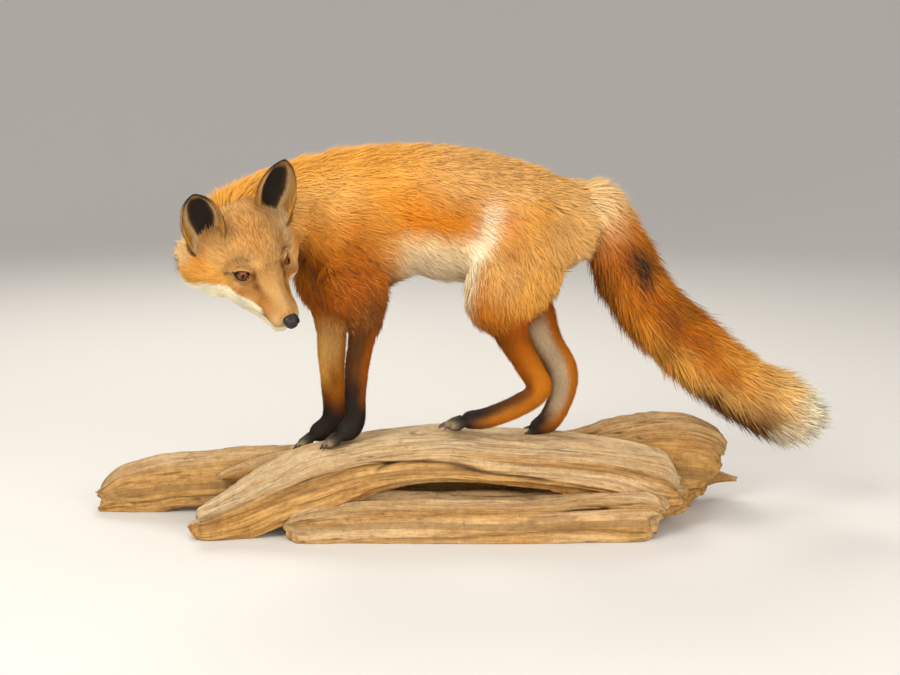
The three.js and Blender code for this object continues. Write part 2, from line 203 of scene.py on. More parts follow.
def loft(
    rows, ref, inset=0.0, round=(10, 10), around=40, step=5.0, boxy=1.0, pear=(0, 0), start=0.0, stop=0.0
):
    # across = bend(cos) * (half * lean - inset) * dome, high = bend(sin) * (reach - inset) * dome,
    # where bend(v) = sign(v) |v|^boxy, lean = 1 - sin * pear, dome = sqrt(1 - (1 - d / round)^2)
    length = lengthOf(rows) - stop
    places = domedPlaces(length, round, step, start)
    path = Path(rows, ref, places)
    angle = np.linspace(0, 2 * np.pi, around, endpoint=False)[None, :]
    c, s = np.cos(angle), np.sin(angle)
    dome = np.ones(len(places))
    for reach, gone in ((round[0], places - start), (round[1], length - places)):
        if reach:
            dome *= np.sqrt(np.clip(1 - (1 - np.clip(gone / reach, 0, 1)) ** 2, 0, 1))
    depth = inset(path.t[:, None], angle) if callable(inset) else inset
    bend = lambda v: np.sign(v) * np.abs(v) ** boxy
    lean = 1 - s * np.where(s > 0, pear[0], pear[1])
    across = bend(c) * (path.half[:, None] * lean - depth) * dome[:, None]
    reach = np.where(s > 0, path.above[:, None], path.below[:, None])
    high = bend(s) * (reach - depth) * dome[:, None]
    points = (
        path.centre[:, None] + across[..., None] * path.side[:, None] + high[..., None] * path.up[:, None]
    )
    return path, angle, points


def closedLoft(points):  # a ring grid shut by a middle point at each end
    rings, around = points.shape[:2]
    verts = np.vstack([points.reshape(-1, 3), points[0].mean(0), points[-1].mean(0)])
    k = np.arange(around)
    n = (k + 1) % around
    last = (rings - 1) * around
    caps = np.vstack(
        [
            np.stack([np.full(around, rings * around), n, k], -1),
            np.stack([np.full(around, rings * around + 1), last + k, last + n], -1),
        ]
    )
    return verts, [ringGrid(rings, around), caps]


# meshes


def triangles(faces):
    return np.vstack([f if f.shape[1] == 3 else np.vstack([f[:, [0, 1, 2]], f[:, [0, 2, 3]]]) for f in faces])


def outward(verts, faces):  # turns the faces round when their volume is negative
    t = triangles(faces)
    a, b, c = verts[t[:, 0]], verts[t[:, 1]], verts[t[:, 2]]
    return faces if dot(a, np.cross(b, c)).sum() > 0 else [f[:, ::-1] for f in faces]


def joined(parts):  # several (verts, faces) as one
    verts, faces, start = [], [], 0
    for v, fs in parts:
        verts.append(v)
        faces += [f + start for f in fs]
        start += len(v)
    return np.vstack(verts), faces


def makePiece(name, verts, faces, values=None, uv=None, uvName="grain"):
    mesh = bpy.data.meshes.new(name)
    loops = np.concatenate([f.ravel() for f in faces])
    sizes = np.concatenate([np.full(len(f), f.shape[1]) for f in faces])
    mesh.vertices.add(len(verts))
    mesh.vertices.foreach_set("co", np.ascontiguousarray(verts, np.float32).ravel())
    mesh.loops.add(len(loops))
    mesh.loops.foreach_set("vertex_index", loops.astype(np.int32))
    mesh.polygons.add(len(sizes))
    mesh.polygons.foreach_set("loop_start", (np.cumsum(sizes) - sizes).astype(np.int32))
    mesh.polygons.foreach_set("use_smooth", np.ones(len(sizes), bool))
    for key, value in (values or {}).items():
        value = np.asarray(value, np.float32)
        layer = mesh.attributes.new(key, "FLOAT" if value.ndim == 1 else "FLOAT_COLOR", "POINT")
        if value.ndim == 1:
            layer.data.foreach_set("value", value)
        else:
            layer.data.foreach_set("color", np.hstack([value, np.ones((len(value), 1), np.float32)]).ravel())
    if uv is not None:
        layer = mesh.uv_layers.new(name=uvName)
        layer.data.foreach_set("uv", np.asarray(uv, np.float32)[loops].ravel())
    mesh.update(calc_edges=True)
    piece = bpy.data.objects.new(name, mesh)
    bpy.context.scene.collection.objects.link(piece)
    return piece


def meshArrays(mesh):
    verts = np.zeros(len(mesh.vertices) * 3, np.float32)
    mesh.vertices.foreach_get("co", verts)
    mesh.calc_loop_triangles()
    tris = np.zeros(len(mesh.loop_triangles) * 3, np.int32)
    mesh.loop_triangles.foreach_get("vertices", tris)
    edges = np.zeros(len(mesh.edges) * 2, np.int32)
    mesh.edges.foreach_get("vertices", edges)
    return verts.reshape(-1, 3).astype(float), tris.reshape(-1, 3), edges.reshape(-1, 2)


def vertexNormals(verts, tris):
    face = np.cross(verts[tris[:, 1]] - verts[tris[:, 0]], verts[tris[:, 2]] - verts[tris[:, 0]])
    total = np.stack(
        [sum(np.bincount(tris[:, k], face[:, axis], len(verts)) for k in range(3)) for axis in range(3)], -1
    )
    return unit(total)


def relaxed(verts, edges, rounds, pull=0.5):  # each point moves towards the mean of its neighbours
    both = np.vstack([edges, edges[:, ::-1]])
    count = np.bincount(both[:, 0], minlength=len(verts))[:, None]
    for _ in range(rounds):
        sums = [np.bincount(both[:, 0], verts[both[:, 1], a], len(verts)) for a in range(3)]
        verts = verts + pull * (np.stack(sums, -1) / count - verts)
    return verts


# finishes


class Sock:
    # one shader output; arithmetic on it adds the Math nodes
    def __init__(self, finish, socket):
        self.finish, self.socket = finish, socket

    def __add__(self, other):
        return self.finish.math("ADD", self, other)

    def __sub__(self, other):
        return self.finish.math("SUBTRACT", self, other)

    def __rsub__(self, other):
        return self.finish.math("SUBTRACT", other, self)

    def __mul__(self, other):
        return self.finish.math("MULTIPLY", self, other)

    def __pow__(self, other):
        return self.finish.math("POWER", self, other)

    __radd__ = __add__
    __rmul__ = __mul__


class Finish:
    # a Principled material; constants go on the shader's own sockets
    def __init__(self, name, **constants):
        self.material = bpy.data.materials.new(name)
        self.material.use_nodes = True
        self.tree = self.material.node_tree
        self.shader = self.tree.nodes["Principled BSDF"]
        for key, value in constants.items():
            self.shader.inputs[key.replace("_", " ")].default_value = value

    def node(self, kind, inputs=None, out=0, stops=None, **settings):
        made = self.tree.nodes.new(kind)
        for key, value in settings.items():
            setattr(made, key, value)
        if stops:
            ramp = made.color_ramp
            for index, (place, colour) in enumerate(stops):
                stop = ramp.elements[index] if index < 2 else ramp.elements.new(place)
                stop.position = place
                stop.color = (*colour, 1)
        for key, value in (inputs or {}).items():
            if isinstance(value, Sock):
                self.tree.links.new(value.socket, made.inputs[key])
            else:
                made.inputs[key].default_value = value
        return Sock(self, made.outputs[out])

    def math(self, operation, a, b=0.0, clamp=False):
        return self.node("ShaderNodeMath", {0: a, 1: b}, operation=operation, use_clamp=clamp)

    def mix(self, factor, a, b, blend="MIX"):
        colour = lambda c: c if isinstance(c, Sock) else (*c, 1)
        inputs = {0: factor, 6: colour(a), 7: colour(b)}
        return self.node("ShaderNodeMix", inputs, out=2, data_type="RGBA", blend_type=blend)

    def ramp(self, value, *stops):
        return self.node("ShaderNodeValToRGB", {0: value}, stops=stops)

    def rise(self, value, low, high):  # 0 at low, 1 at high
        inputs = {"Value": value, "From Min": low, "From Max": high}
        return self.node("ShaderNodeMapRange", inputs, clamp=True, interpolation_type="SMOOTHSTEP")

    def attribute(self, name, colour=False):
        return self.node("ShaderNodeAttribute", out=0 if colour else 2, attribute_name=name)

    def objectPlace(self, scale=(1, 1, 1)):
        place = self.node("ShaderNodeTexCoord", out=3)
        return self.node("ShaderNodeMapping", {"Vector": place, "Scale": scale})

    def uvPlace(self, name, scale=(1, 1, 1), move=(0, 0, 0)):
        place = self.node("ShaderNodeUVMap", uv_map=name)
        return self.node("ShaderNodeMapping", {"Vector": place, "Scale": scale, "Location": move})

    def noise(self, place, scale, detail=3.0, rough=0.5, twist=0.0):
        inputs = {"Vector": place, "Scale": scale, "Detail": detail, "Roughness": rough, "Distortion": twist}
        return self.node("ShaderNodeTexNoise", inputs)

    def set(self, **links):
        for key, value in links.items():
            self.tree.links.new(value.socket, self.shader.inputs[key.replace("_", " ")])

    def bump(self, height, strength, distance):
        inputs = {"Height": height, "Strength": strength, "Distance": distance}
        self.set(Normal=self.node("ShaderNodeBump", inputs))


def dress(piece, finish, slot, *nodes):  # finish, ride, slot (not used) and the nodes it stands for
    piece.data.materials.append(finish.material)
    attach(piece, "root")
    if nodes:
        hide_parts(*nodes)
    return piece


# camera, floor and lights

cameraSet = {"target": (0, 0, 235), "distance": 1800.0, "elevation": 10.0, "lens": 57.6}


def makeCamera():
    rise = math.radians(cameraSet["elevation"])
    back = np.array([0, -math.cos(rise), math.sin(rise)]) * cameraSet["distance"]
    data = bpy.data.cameras.new("camera")
    data.lens = cameraSet["lens"]
    data.sensor_width = 36
    camera = bpy.data.objects.new("camera", data)
    camera.location = toFrame(np.array(cameraSet["target"]) + back)
    camera.rotation_euler = (math.pi / 2 - rise, 0, 0)
    bpy.context.scene.collection.objects.link(camera)
    bpy.context.scene.camera = camera


floorSet = {
    "flat": 3.2, "reach": 4, "rise": 4.5, "bend": 1.5,  # metres, and the rim's last angle in radians
    "flatRings": 12, "rimRings": 60, "around": 96, "colour": (0.70, 0.69, 0.67),
}


def makeFloor():
    # a round floor whose rim curves up: height = rise * (1 - cos(angle)) past the flat
    flatRings, rimRings, around = floorSet["flatRings"], floorSet["rimRings"], floorSet["around"]
    bend = np.linspace(0, 1, rimRings) * floorSet["bend"]
    flat = np.linspace(0.05, floorSet["flat"], flatRings)
    radius = np.concatenate([flat, floorSet["flat"] + floorSet["reach"] * np.sin(bend)])
    height = np.concatenate([np.zeros(flatRings), floorSet["rise"] * (1 - np.cos(bend))])
    turn = np.linspace(0, 2 * np.pi, around, endpoint=False)
    x, y = radius[:, None] * np.cos(turn), radius[:, None] * np.sin(turn)
    points = np.stack([x, y, np.broadcast_to(height[:, None], x.shape)], -1)
    verts = np.vstack([points.reshape(-1, 3), [[0, 0, 0]]])
    k = np.arange(around)
    hub = np.stack([np.full(around, len(verts) - 1), k, (k + 1) % around], -1)
    floor = makePiece("floor", verts, [ringGrid(flatRings + rimRings, around)[:, ::-1], hub])
    finish = Finish("paleFloor", Roughness=0.9, Base_Color=(*floorSet["colour"], 1))
    floor.data.materials.append(finish.material)


lightSet = [  # place and aim in metres, width, power, colour
    ((-1.5, -1.7, 1.9), (0, 0, 0.25), 1.3, 46, (1.0, 0.95, 0.87)),
    ((1.7, -2.0, 1.1), (0, 0, 0.25), 1.8, 34, (1.0, 0.94, 0.86)),
    ((-0.2, -2.9, 0.7), (0, 0, 0.25), 1.6, 34, (1.0, 0.94, 0.86)),
    ((-0.6, 1.7, 1.9), (0, 0, 0.3), 1.2, 24, (1.0, 0.92, 0.82)),
    ((0.2, -0.2, 2.6), (0, 0, 0.2), 2.0, 12, (1.0, 0.97, 0.93)),
]


def makeLights():
    for index, (place, aim, width, power, colour) in enumerate(lightSet):
        data = bpy.data.lights.new(f"softLight{index}", "AREA")
        data.shape = "DISK"
        data.size = width
        data.energy = power
        data.color = colour
        lamp = bpy.data.objects.new(data.name, data)
        lamp.location = place
        lamp.rotation_euler = (Vector(aim) - Vector(place)).to_track_quat("-Z", "Y").to_euler()
        bpy.context.scene.collection.objects.link(lamp)
    world = bpy.data.worlds.new("softWorld")
    world.use_nodes = True
    world.node_tree.nodes["Background"].inputs["Color"].default_value = (1.0, 0.97, 0.93, 1)
    world.node_tree.nodes["Background"].inputs["Strength"].default_value = 0.5
    bpy.context.scene.world = world
    bpy.context.scene.view_settings.view_transform = "Standard"
    bpy.context.scene.cycles.max_bounces = 5
    bpy.context.scene.cycles.diffuse_bounces = 3


makeCamera()
makeFloor()
makeLights()
print("camera, floor and lights made")

# driftwood

woodRows = {  # centre x, y, z, then half depth and the reach up and down
    "base_log_main": [
        [-318, -72, 14, 14, 8, 15], [-300, -70, 16, 26, 18, 23], [-262, -58, 28, 34, 26, 30],
        [-213, -44, 48, 46, 30, 30], [-172, -32, 63, 56, 33, 33], [-125, -22, 76, 62, 29, 30],
        [-79, -18, 84, 63, 27, 27], [-9, -16, 90, 65, 26, 27], [49, -16, 86, 65, 25, 25],
        [107, -16, 82, 63, 25, 25], [165, -18, 76, 58, 26, 30], [211, -20, 68, 52, 28, 34],
        [258, -24, 52, 42, 32, 38], [284, -26, 44, 22, 12, 26], [297, -27, 44, 10, 5, 8],
    ],
    "base_slab_front": [
        [-203, -80, 13, 10, 6, 14], [-188, -79, 18, 20, 13, 23], [-160, -76, 22, 26, 18, 28],
        [-121, -70, 24, 31, 22, 30], [-60, -68, 25, 34, 23, 31], [110, -68, 25, 34, 24, 31],
        [160, -69, 27, 32, 27, 33], [214, -71, 28, 28, 27, 34], [245, -73, 27, 22, 24, 33],
        [258, -75, 22, 12, 12, 22],
    ],
    "base_slab_left": [
        [-463, 44, 16, 10, 8, 18], [-453, 44, 20, 17, 11, 26], [-425, 46, 30, 21, 24, 36],
        [-395, 46, 34, 21, 30, 40], [-360, 46, 38, 22, 33, 34], [-325, 46, 40, 22, 34, 33],
        [-275, 47, 44, 22, 36, 36], [-212, 50, 46, 22, 36, 38], [-150, 56, 46, 22, 34, 40],
        [-60, 64, 40, 20, 28, 36], [40, 66, 36, 18, 24, 40], [118, 66, 34, 12, 16, 36],
    ],
    "base_branch": [
        [-297, 8, 51, 5, 3, 3], [-280, 12, 56, 11, 7, 9], [-255, 16, 59, 16, 12, 14],
        [-215, 22, 63, 20, 16, 18], [-160, 28, 68, 22, 20, 20], [-120, 34, 72, 16, 14, 16],
    ],
    "base_block_right": [
        [128, 74, 52, 18, 24, 36], [150, 75, 50, 30, 42, 56], [186, 76, 52, 33, 48, 58],
        [215, 77, 54, 34, 54, 60], [265, 78, 56, 35, 57, 62], [305, 79, 56, 33, 56, 62],
        [322, 80, 54, 31, 51, 61], [336, 82, 48, 27, 45, 54], [345, 84, 42, 20, 34, 44],
    ],
    "base_spike_right": [
        [334, 95, 29, 13, 13, 16], [352, 96, 30, 10, 9, 11], [370, 93, 28, 6, 5, 5], [383, 90, 27, 3, 3, 3],
    ],
}
woodSet = {  # rounded ends, grid step along and round, squareness, depth of cracks, ledges, paleness, gold
    "base_log_main": {
        "round": (16, 8), "step": 2.2, "around": 220, "boxy": 0.6,
        "crack": 3.2, "ledge": 1.9, "pale": 0.95, "gold": 0.45,
    },
    "base_slab_front": {
        "round": (8, 5), "step": 2.4, "around": 120, "boxy": 0.42,
        "crack": 2.6, "ledge": 1.5, "pale": 0.55, "gold": 0.30,
    },
    "base_slab_left": {
        "round": (10, 8), "step": 3.0, "around": 96, "boxy": 0.5,
        "crack": 1.4, "ledge": 0.9, "pale": 0.5, "gold": 0.4,
    },
    "base_branch": {
        "round": (3, 10), "step": 2.0, "around": 72, "boxy": 0.7,
        "crack": 1.6, "ledge": 0.8, "pale": 0.4, "gold": 0.4,
    },
    "base_block_right": {
        "round": (8, 5), "step": 2.0, "around": 150, "boxy": 0.42,
        "crack": 1.2, "ledge": 1.7, "pale": 0.25, "gold": 0.6,
    },
    "base_spike_right": {
        "round": (6, 0), "step": 1.6, "around": 40, "boxy": 0.7,
        "crack": 1.0, "ledge": 0.5, "pale": 0.15, "gold": 0.6,
    },
}


def woodFinish(name, look):
    finish = Finish(name + "_finish", Roughness=0.86, Specular_IOR_Level=0.2)
    broad = finish.noise(finish.uvPlace("grain", scale=(7, 70, 1)), 1.0, detail=4, rough=0.6, twist=0.4)
    fine = finish.noise(finish.uvPlace("grain", scale=(22, 330, 1)), 1.0, detail=6, rough=0.68, twist=0.3)
    thread = finish.noise(
        finish.uvPlace("grain", scale=(60, 1500, 1), move=(3, 1, 0)), 1.0, detail=3, rough=0.6
    )
    patch = finish.noise(finish.objectPlace(), 9.0, detail=3)
    speck = finish.noise(finish.objectPlace(), 320.0, detail=3)
    rough = finish.noise(finish.objectPlace(), 110.0, detail=6, rough=0.7)
    line = finish.mix(finish.attribute("endGrain"), fine, rough)
    share = finish.rise(line * 0.5 + rough * 0.25 + broad * 0.25, 0.36, 0.62)
    tan = finish.mix(share, (0.30, 0.145, 0.042), (0.62, 0.385, 0.150))
    golden = finish.mix(share, (0.22, 0.088, 0.015), (0.58, 0.315, 0.082))
    grey = finish.mix(share, (0.40, 0.275, 0.150), (0.72, 0.565, 0.36))
    gold = finish.math("ADD", finish.rise(patch, 0.40, 0.66) * 0.4, look["gold"], clamp=True)
    # painted shade: the golden mix, darker than the tan, grows towards the underside through the shade
    # attribute, scaled by the piece's gold and random gold patches
    colour = finish.mix(gold * finish.attribute("shade"), tan, golden)
    colour = finish.mix(finish.attribute("weather"), colour, grey)
    colour = finish.mix(finish.rise(thread, 0.54, 0.70) * 0.42, colour, (0.15, 0.075, 0.026))
    colour = finish.mix(finish.rise(speck, 0.60, 0.72) * 0.40, colour, (0.16, 0.078, 0.026))
    # painted shade: cracks, hairline checks, the split, the slot and the knot hole are painted near black, as
    # the shade inside them
    colour = finish.mix(finish.attribute("crack"), colour, (0.050, 0.021, 0.007))
    finish.set(Base_Color=colour)
    finish.set(Roughness=finish.rise(fine, 0.2, 0.9) * 0.2 + 0.72)
    finish.bump(line * 0.8 + thread * 0.35 + speck * 0.45 + rough * 0.6, 0.9, 0.0018)
    return finish


def stepped(values, count):  # levels parted by short slopes
    level = values * count
    base = np.floor(level)
    return (base + smooth(0.30, 0.62, level - base)) / count


def angleFrom(angle, place):  # signed angle from a place round the section
    return np.angle(np.exp(1j * (angle - place)))


def ownMarks(name, path, angle, wrap, sink):
    # each piece's own split, slot, check or knot hole: depth, a seam painted dark as shade, and paleness with
    # it added
    c = np.cos(angle)
    far = path.d[:, None]
    seam = np.zeros_like(sink)
    pale = np.zeros_like(sink)
    if name == "base_log_main":  # the pale cap overhangs a long split that runs along the front
        turn = np.radians(8 + 9 * np.sin(path.d / 95.0) - 16 * smooth(0.45, 0.9, path.t))[:, None]
        off = angleFrom(angle, turn)
        run = (smooth(0.10, 0.22, path.t) * smooth(0.985, 0.9, path.t))[:, None]
        seam = hump(off, 0.05) * run * (0.62 + 0.38 * noise(wrap, (28, 9, 9), 90))
        lip = hump(off - 0.17, 0.12) * run
        belly = smooth(0.0, -0.16, off) * smooth(-1.2, -0.5, off) * run
        sink = sink + 4.2 * seam - 1.6 * lip + 3.0 * belly
        pale = 0.62 * run * hump(off - 0.22, 0.16)
    if name == "base_slab_front":  # an open slot near the right end
        off = angleFrom(angle, math.radians(16))
        seam = hump(off, 0.05) * np.exp(-(((far - 372) / 26) ** 4))
        tail = hump(off, 0.03) * (smooth(300, 340, path.d) * 0.55)[:, None]
        sink = sink + 8.0 * seam + 3.0 * tail
        seam = seam + tail
    if name == "base_slab_left":  # a check across the grain
        seam = hump(far - 238 - 1.5 * noise(wrap, 12, 91), 0.9) * smooth(0.5, 0.9, c)
        sink = sink + 1.5 * seam
    if name == "base_branch":  # a knot hole with a raised rim
        away = np.hypot((far - 132) / 7.5, angleFrom(angle, math.radians(38)) * 17 / 6.0)
        seam = smooth(1.0, 0.55, away)
        sink = sink + 5.0 * seam - 2.0 * hump(away - 1.35, 0.4)
    return sink, seam, pale


def tornEnds(moved, points, path, arm, size, seed):
    # pushes both ends out and in by steps laid across the section, and says where end grain shows
    size = size[..., 0]
    cross = np.stack([0 * size, dot(arm, path.side[:, None]), dot(arm, path.up[:, None])], -1)
    torn = stepped(np.clip(fractal(cross, (900, 15, 9), 2, seed + 8), -0.7, 0.7), 6) * 13.0
    reach = min(24.0, path.length * 0.12)
    full = max(np.hypot(path.half, path.above).max(), 1)
    endGrain = np.zeros(size.shape)
    for end, sign in ((0, -1.0), (-1, 1.0)):
        gone = np.abs(path.d - path.d[end])[:, None]
        chip = fractal(points, 7.0, 2, seed + 10) * 2.2 * smooth(10, 2, gone)
        push = smooth(reach, 0, gone) * (torn - 2.0) * np.clip(size / 9, 0, 1) + chip
        moved = moved + (push * sign)[..., None] * path.tangent[:, None]
        endGrain = np.maximum(endGrain, smooth(14, 4, gone) * smooth(0.95, 0.7, size / full))
    return moved, endGrain


def carvedWood(name, rows, look):
    # the row form's section, moved by wide waves + ledges + grain + threads - cracks, all stretched
    # along the path and fading out towards the rounded ends
    path, angle, points = loft(
        rows, (0, 0, 1), round=look["round"], around=look["around"], step=look["step"], boxy=look["boxy"]
    )
    c, s = np.cos(angle), np.sin(angle)
    far = path.d[:, None]
    shape = points.shape[:2]
    wrap = np.stack([np.broadcast_to(v, shape) for v in (far, 60 * c, 60 * s)], -1)
    seed = len(name) * 3
    broad = fractal(wrap, (150, 34, 34), 2, seed) * 1.5
    ledge = stepped(fractal(wrap, (170, 17, 17), 2, seed + 9), 5) * 5 * look["ledge"]
    grain = fractal(wrap, (60, 4.6, 4.6), 2, seed + 1) * 0.9
    thread = fractal(wrap, (26, 1.9, 1.9), 2, seed + 2) * 0.55
    line = np.abs(fractal(wrap, (170, 13, 13), 2, seed + 3))
    crack = smooth(0.075, 0.0, line) * smooth(0.0, 0.35, noise(wrap, (95, 30, 30), seed + 4))
    hair = smooth(0.07, 0.0, np.abs(noise(wrap, (50, 4.5, 4.5), seed + 5)))
    hair = hair * smooth(-0.1, 0.3, noise(wrap, (40, 20, 20), seed + 6))
    inner = np.ones(len(path.d))
    for end, reach in zip((0, -1), look["round"]):
        if reach:
            inner = np.minimum(inner, smooth(0.2, 0.9, np.abs(path.d - path.d[end]) / reach))
    crack, hair, ledge, grain, thread = (v * inner[:, None] for v in (crack, hair, ledge, grain, thread))
    sink, seam, pale = ownMarks(name, path, angle, wrap, look["crack"] * crack + 0.9 * hair)
    middle = path.centre[:, None]
    arm = points - middle
    size = np.linalg.norm(arm, axis=-1, keepdims=True)
    lift = (broad + ledge + grain + thread - sink)[..., None]
    moved = middle + arm * (1 + np.clip(size / 12, 0, 1) * lift / np.maximum(size, 4))
    moved, endGrain = tornEnds(moved, points, path, arm, size, seed)
    moved[..., 2] = np.maximum(moved[..., 2], 0.25 + 0.2 * noise(points, 9, 5))
    verts, faces = closedLoft(moved)
    pad = lambda v: np.concatenate([np.broadcast_to(v, shape).ravel(), [0, 0]])
    weather = smooth(0.2, 0.75, s + 0 * far) * look["pale"] * (0.75 + 0.35 * noise(points, (60, 14, 14), 21))
    weather = np.maximum(weather, pale)
    if name == "base_slab_front":
        weather = np.maximum(weather, 0.25 + 0.35 * noise(points, (80, 20, 12), 22))
    values = {
        "weather": pad(np.clip(weather, 0, 1)),
        # painted shade inside the cracks, checks and seams
        "crack": pad(np.clip(crack * 0.8 + hair * 0.4 + seam, 0, 1)),
        # painted shade: larger towards the underside, with random patches
        "shade": pad(np.clip(0.55 - 0.55 * s + 0.3 * noise(points, (90, 25, 25), 23), 0, 1)),
        "endGrain": pad(np.clip(endGrain, 0, 1)),
    }
    uv = np.stack([pad(far / 1000), pad(angle * 0.05)], -1)
    pieceName = name.replace("base", "driftwood")
    piece = makePiece(pieceName, toFrame(verts), outward(verts, faces), values, uv)
    return dress(piece, woodFinish(name, look), "driftwood", name)


for woodName, rows in woodRows.items():
    carvedWood(woodName, rows, woodSet[woodName])
print("driftwood made")

# the body's form: every limb is a path with a section, from its coat's tips inwards

limbs = {
    "trunk": {
        "rows": [
            [-196, 4, 372, 34, 58, 66], [-170, 1, 378, 53, 82, 88], [-120, -2, 382, 66, 91, 96],
            [-60, 0, 392, 67, 87, 84], [0, 0, 392, 67, 84, 90], [55, 0, 386, 68, 79, 84],
            [105, 0, 380, 69, 70, 72], [145, 0, 382, 58, 55, 58], [176, 0, 388, 38, 38, 40],
        ],
        "ref": (0, 0, 1), "round": (34, 26), "nodes": ["trunk"],
    },
    "neck": {
        "rows": [
            [-118, 0, 404, 52, 58, 70], [-170, 3, 406, 52, 58, 76], [-216, -11, 397, 46, 53, 72],
            [-250, -42, 382, 46, 50, 62], [-266, -70, 370, 42, 42, 52],
        ],
        "ref": (0, 0, 1), "round": (20, 24), "nodes": ["neck"],
    },
    "tail": {
        "rows": [
            [150, 0, 408, 30, 24, 30], [178, 1, 396, 36, 34, 36], [204, 3, 352, 42, 41, 42],
            [226, 5, 308, 45, 45, 46], [255, 7, 268, 46, 46, 48], [294, 9, 230, 47, 47, 48],
            [340, 11, 190, 46, 46, 47], [386, 13, 159, 46, 46, 46], [428, 14, 141, 42, 42, 42],
            [470, 14, 138, 28, 26, 28],
        ],
        "ref": (0, 0, 1), "round": (10, 26), "nodes": ["tail_root", "tail_middle", "tail_tip"],
    },
    "front_left": {
        "rows": [
            [-128, -34, 352, 28, 42, 42], [-112, -42, 305, 27, 48, 38], [-103, -42, 272, 23, 31, 25],
            [-107, -39, 242, 17, 20, 18], [-114, -36, 206, 15, 17, 17], [-117, -34, 168, 14, 15, 15],
            [-118, -34, 140, 14, 14, 15], [-125, -34, 126, 16, 16, 16], [-139, -35, 118, 19, 12, 11],
        ],
    },
    "front_right": {
        "rows": [
            [-150, 32, 352, 28, 50, 42], [-150, 38, 305, 27, 50, 38], [-148, 37, 272, 23, 37, 29],
            [-152, 34, 242, 18, 21, 25], [-153, 32, 212, 15, 18, 22], [-152, 31, 170, 14, 15, 20],
            [-151, 31, 130, 14, 14, 20], [-158, 31, 113, 16, 16, 18], [-179, 30, 101, 19, 12, 11],
        ],
    },
    "hind_left": {
        "rows": [
            [112, -36, 384, 32, 60, 44], [84, -42, 330, 34, 66, 56], [66, -44, 286, 29, 51, 44],
            [72, -42, 256, 22, 28, 26], [84, -40, 228, 17, 20, 20], [100, -38, 200, 15, 18, 18],
            [108, -36, 178, 15, 15, 19], [86, -36, 158, 14, 15, 17], [46, -36, 141, 15, 14, 15],
            [15, -36, 137, 18, 12, 11],
        ],
    },
    "hind_right": {
        "rows": [
            [112, 36, 384, 32, 60, 44], [96, 42, 330, 34, 60, 50], [92, 43, 288, 28, 44, 46],
            [110, 40, 256, 21, 32, 28], [126, 38, 224, 16, 27, 20], [143, 36, 194, 15, 26, 20],
            [148, 35, 170, 14, 25, 18], [142, 34, 142, 14, 21, 15], [126, 34, 118, 16, 17, 15],
            [104, 34, 108, 18, 12, 11],
        ],
    },
}
legParts = {"front": ["shoulder", "forearm", "paw"], "hind": ["thigh", "shank", "metatarsus", "paw"]}
for limbName, limb in limbs.items():
    kind = limbName.split("_")[0]
    if kind in legParts:
        limb.update(ref=(-1, 0, 1), round=(16, 10), nodes=[f"{limbName}_{part}" for part in legParts[kind]])
limbNames = list(limbs)
legNames = limbNames[3:]

# depth of the coat over the skin and length of its hair, at shares of the way along each limb
coatSet = {
    "trunk": {"at": (0, 0.25, 0.6, 1), "depth": (13, 13, 12, 11), "hair": (32, 29, 27, 27)},
    "neck": {"at": (0, 0.5, 1), "depth": (15, 15, 12), "hair": (32, 32, 26)},
    "tail": {"at": (0, 0.12, 0.35, 0.75, 1), "depth": (12, 17, 24, 26, 22), "hair": (28, 34, 42, 46, 50)},
    "front": {
        "at": (0, 0.2, 0.36, 0.5, 0.8, 1), "depth": (10, 8, 5, 3, 2.2, 1.4), "hair": (24, 20, 14, 9, 7, 4.5),
    },
    "hind": {
        "at": (0, 0.3, 0.42, 0.6, 0.85, 1), "depth": (10, 8, 5, 3, 2.2, 1.4), "hair": (25, 22, 15, 9, 7, 4.5),
    },
}


def coatOf(name, key, share):
    look = coatSet[name.split("_")[0]]
    return np.interp(share, look["at"], look[key])


toeSet = {"across": (-15, -5.5, 5.5, 15), "forward": (2, 9, 9, 2), "half": (12, 6, 7.5)}


def toeFrames(rows):  # the middle and the three directions of each toe
    foot, before = (np.array(rows[k][:3], float) for k in (-1, -2))
    ahead = unit(foot - before)
    slope = math.atan2(ahead[2], -ahead[0])
    c, s = math.cos(slope), math.sin(slope)
    axes = np.array([[c, 0, -s], [0, 1, 0], [s, 0, c]])
    for across, forward in zip(toeSet["across"], toeSet["forward"]):
        yield foot + np.array([-forward - 4, across, -3]) @ axes, axes


def ballPoints(half, place, axes, rings=14, around=20):
    # place + half * (cos(a), sin(a) cos(b), sin(a) sin(b)) along the axes
    a = np.linspace(0.12, np.pi - 0.12, rings)[:, None]
    b = np.linspace(0, 2 * np.pi, around, endpoint=False)[None, :]
    x = half[0] * np.cos(a) + 0 * b
    y = half[1] * np.sin(a) * np.cos(b)
    z = half[2] * np.sin(a) * np.sin(b)
    return np.asarray(place) + np.stack([x, y, z], -1) @ axes


def limbSkin(name, limb):
    inset = lambda share, angle: coatOf(name, "depth", share) + 0 * angle
    stop = 30 if name == "tail" else 0
    path, angle, points = loft(
        limb["rows"], limb["ref"], inset=inset, round=limb["round"], around=40, step=5, start=6, stop=stop
    )
    if name == "trunk":  # the belly draws up at the waist
        waist = hump(path.t - 0.62, 0.13)[:, None]
        points = points + (3.5 * waist * smooth(0.1, -0.7, np.sin(angle)))[..., None] * path.up[:, None]
    return closedLoft(points)


def legToes(rows):
    parts = []
    for place, axes in toeFrames(rows):
        half = np.array(toeSet["half"]) - 0.9
        parts.append(closedLoft(ballPoints(half, place, axes)))
        knuckle = place + np.array([3.0, 0, 2.6]) @ axes
        parts.append(closedLoft(ballPoints((5.2, 5.0, 5.4), knuckle, axes, 10, 14)))
    return parts


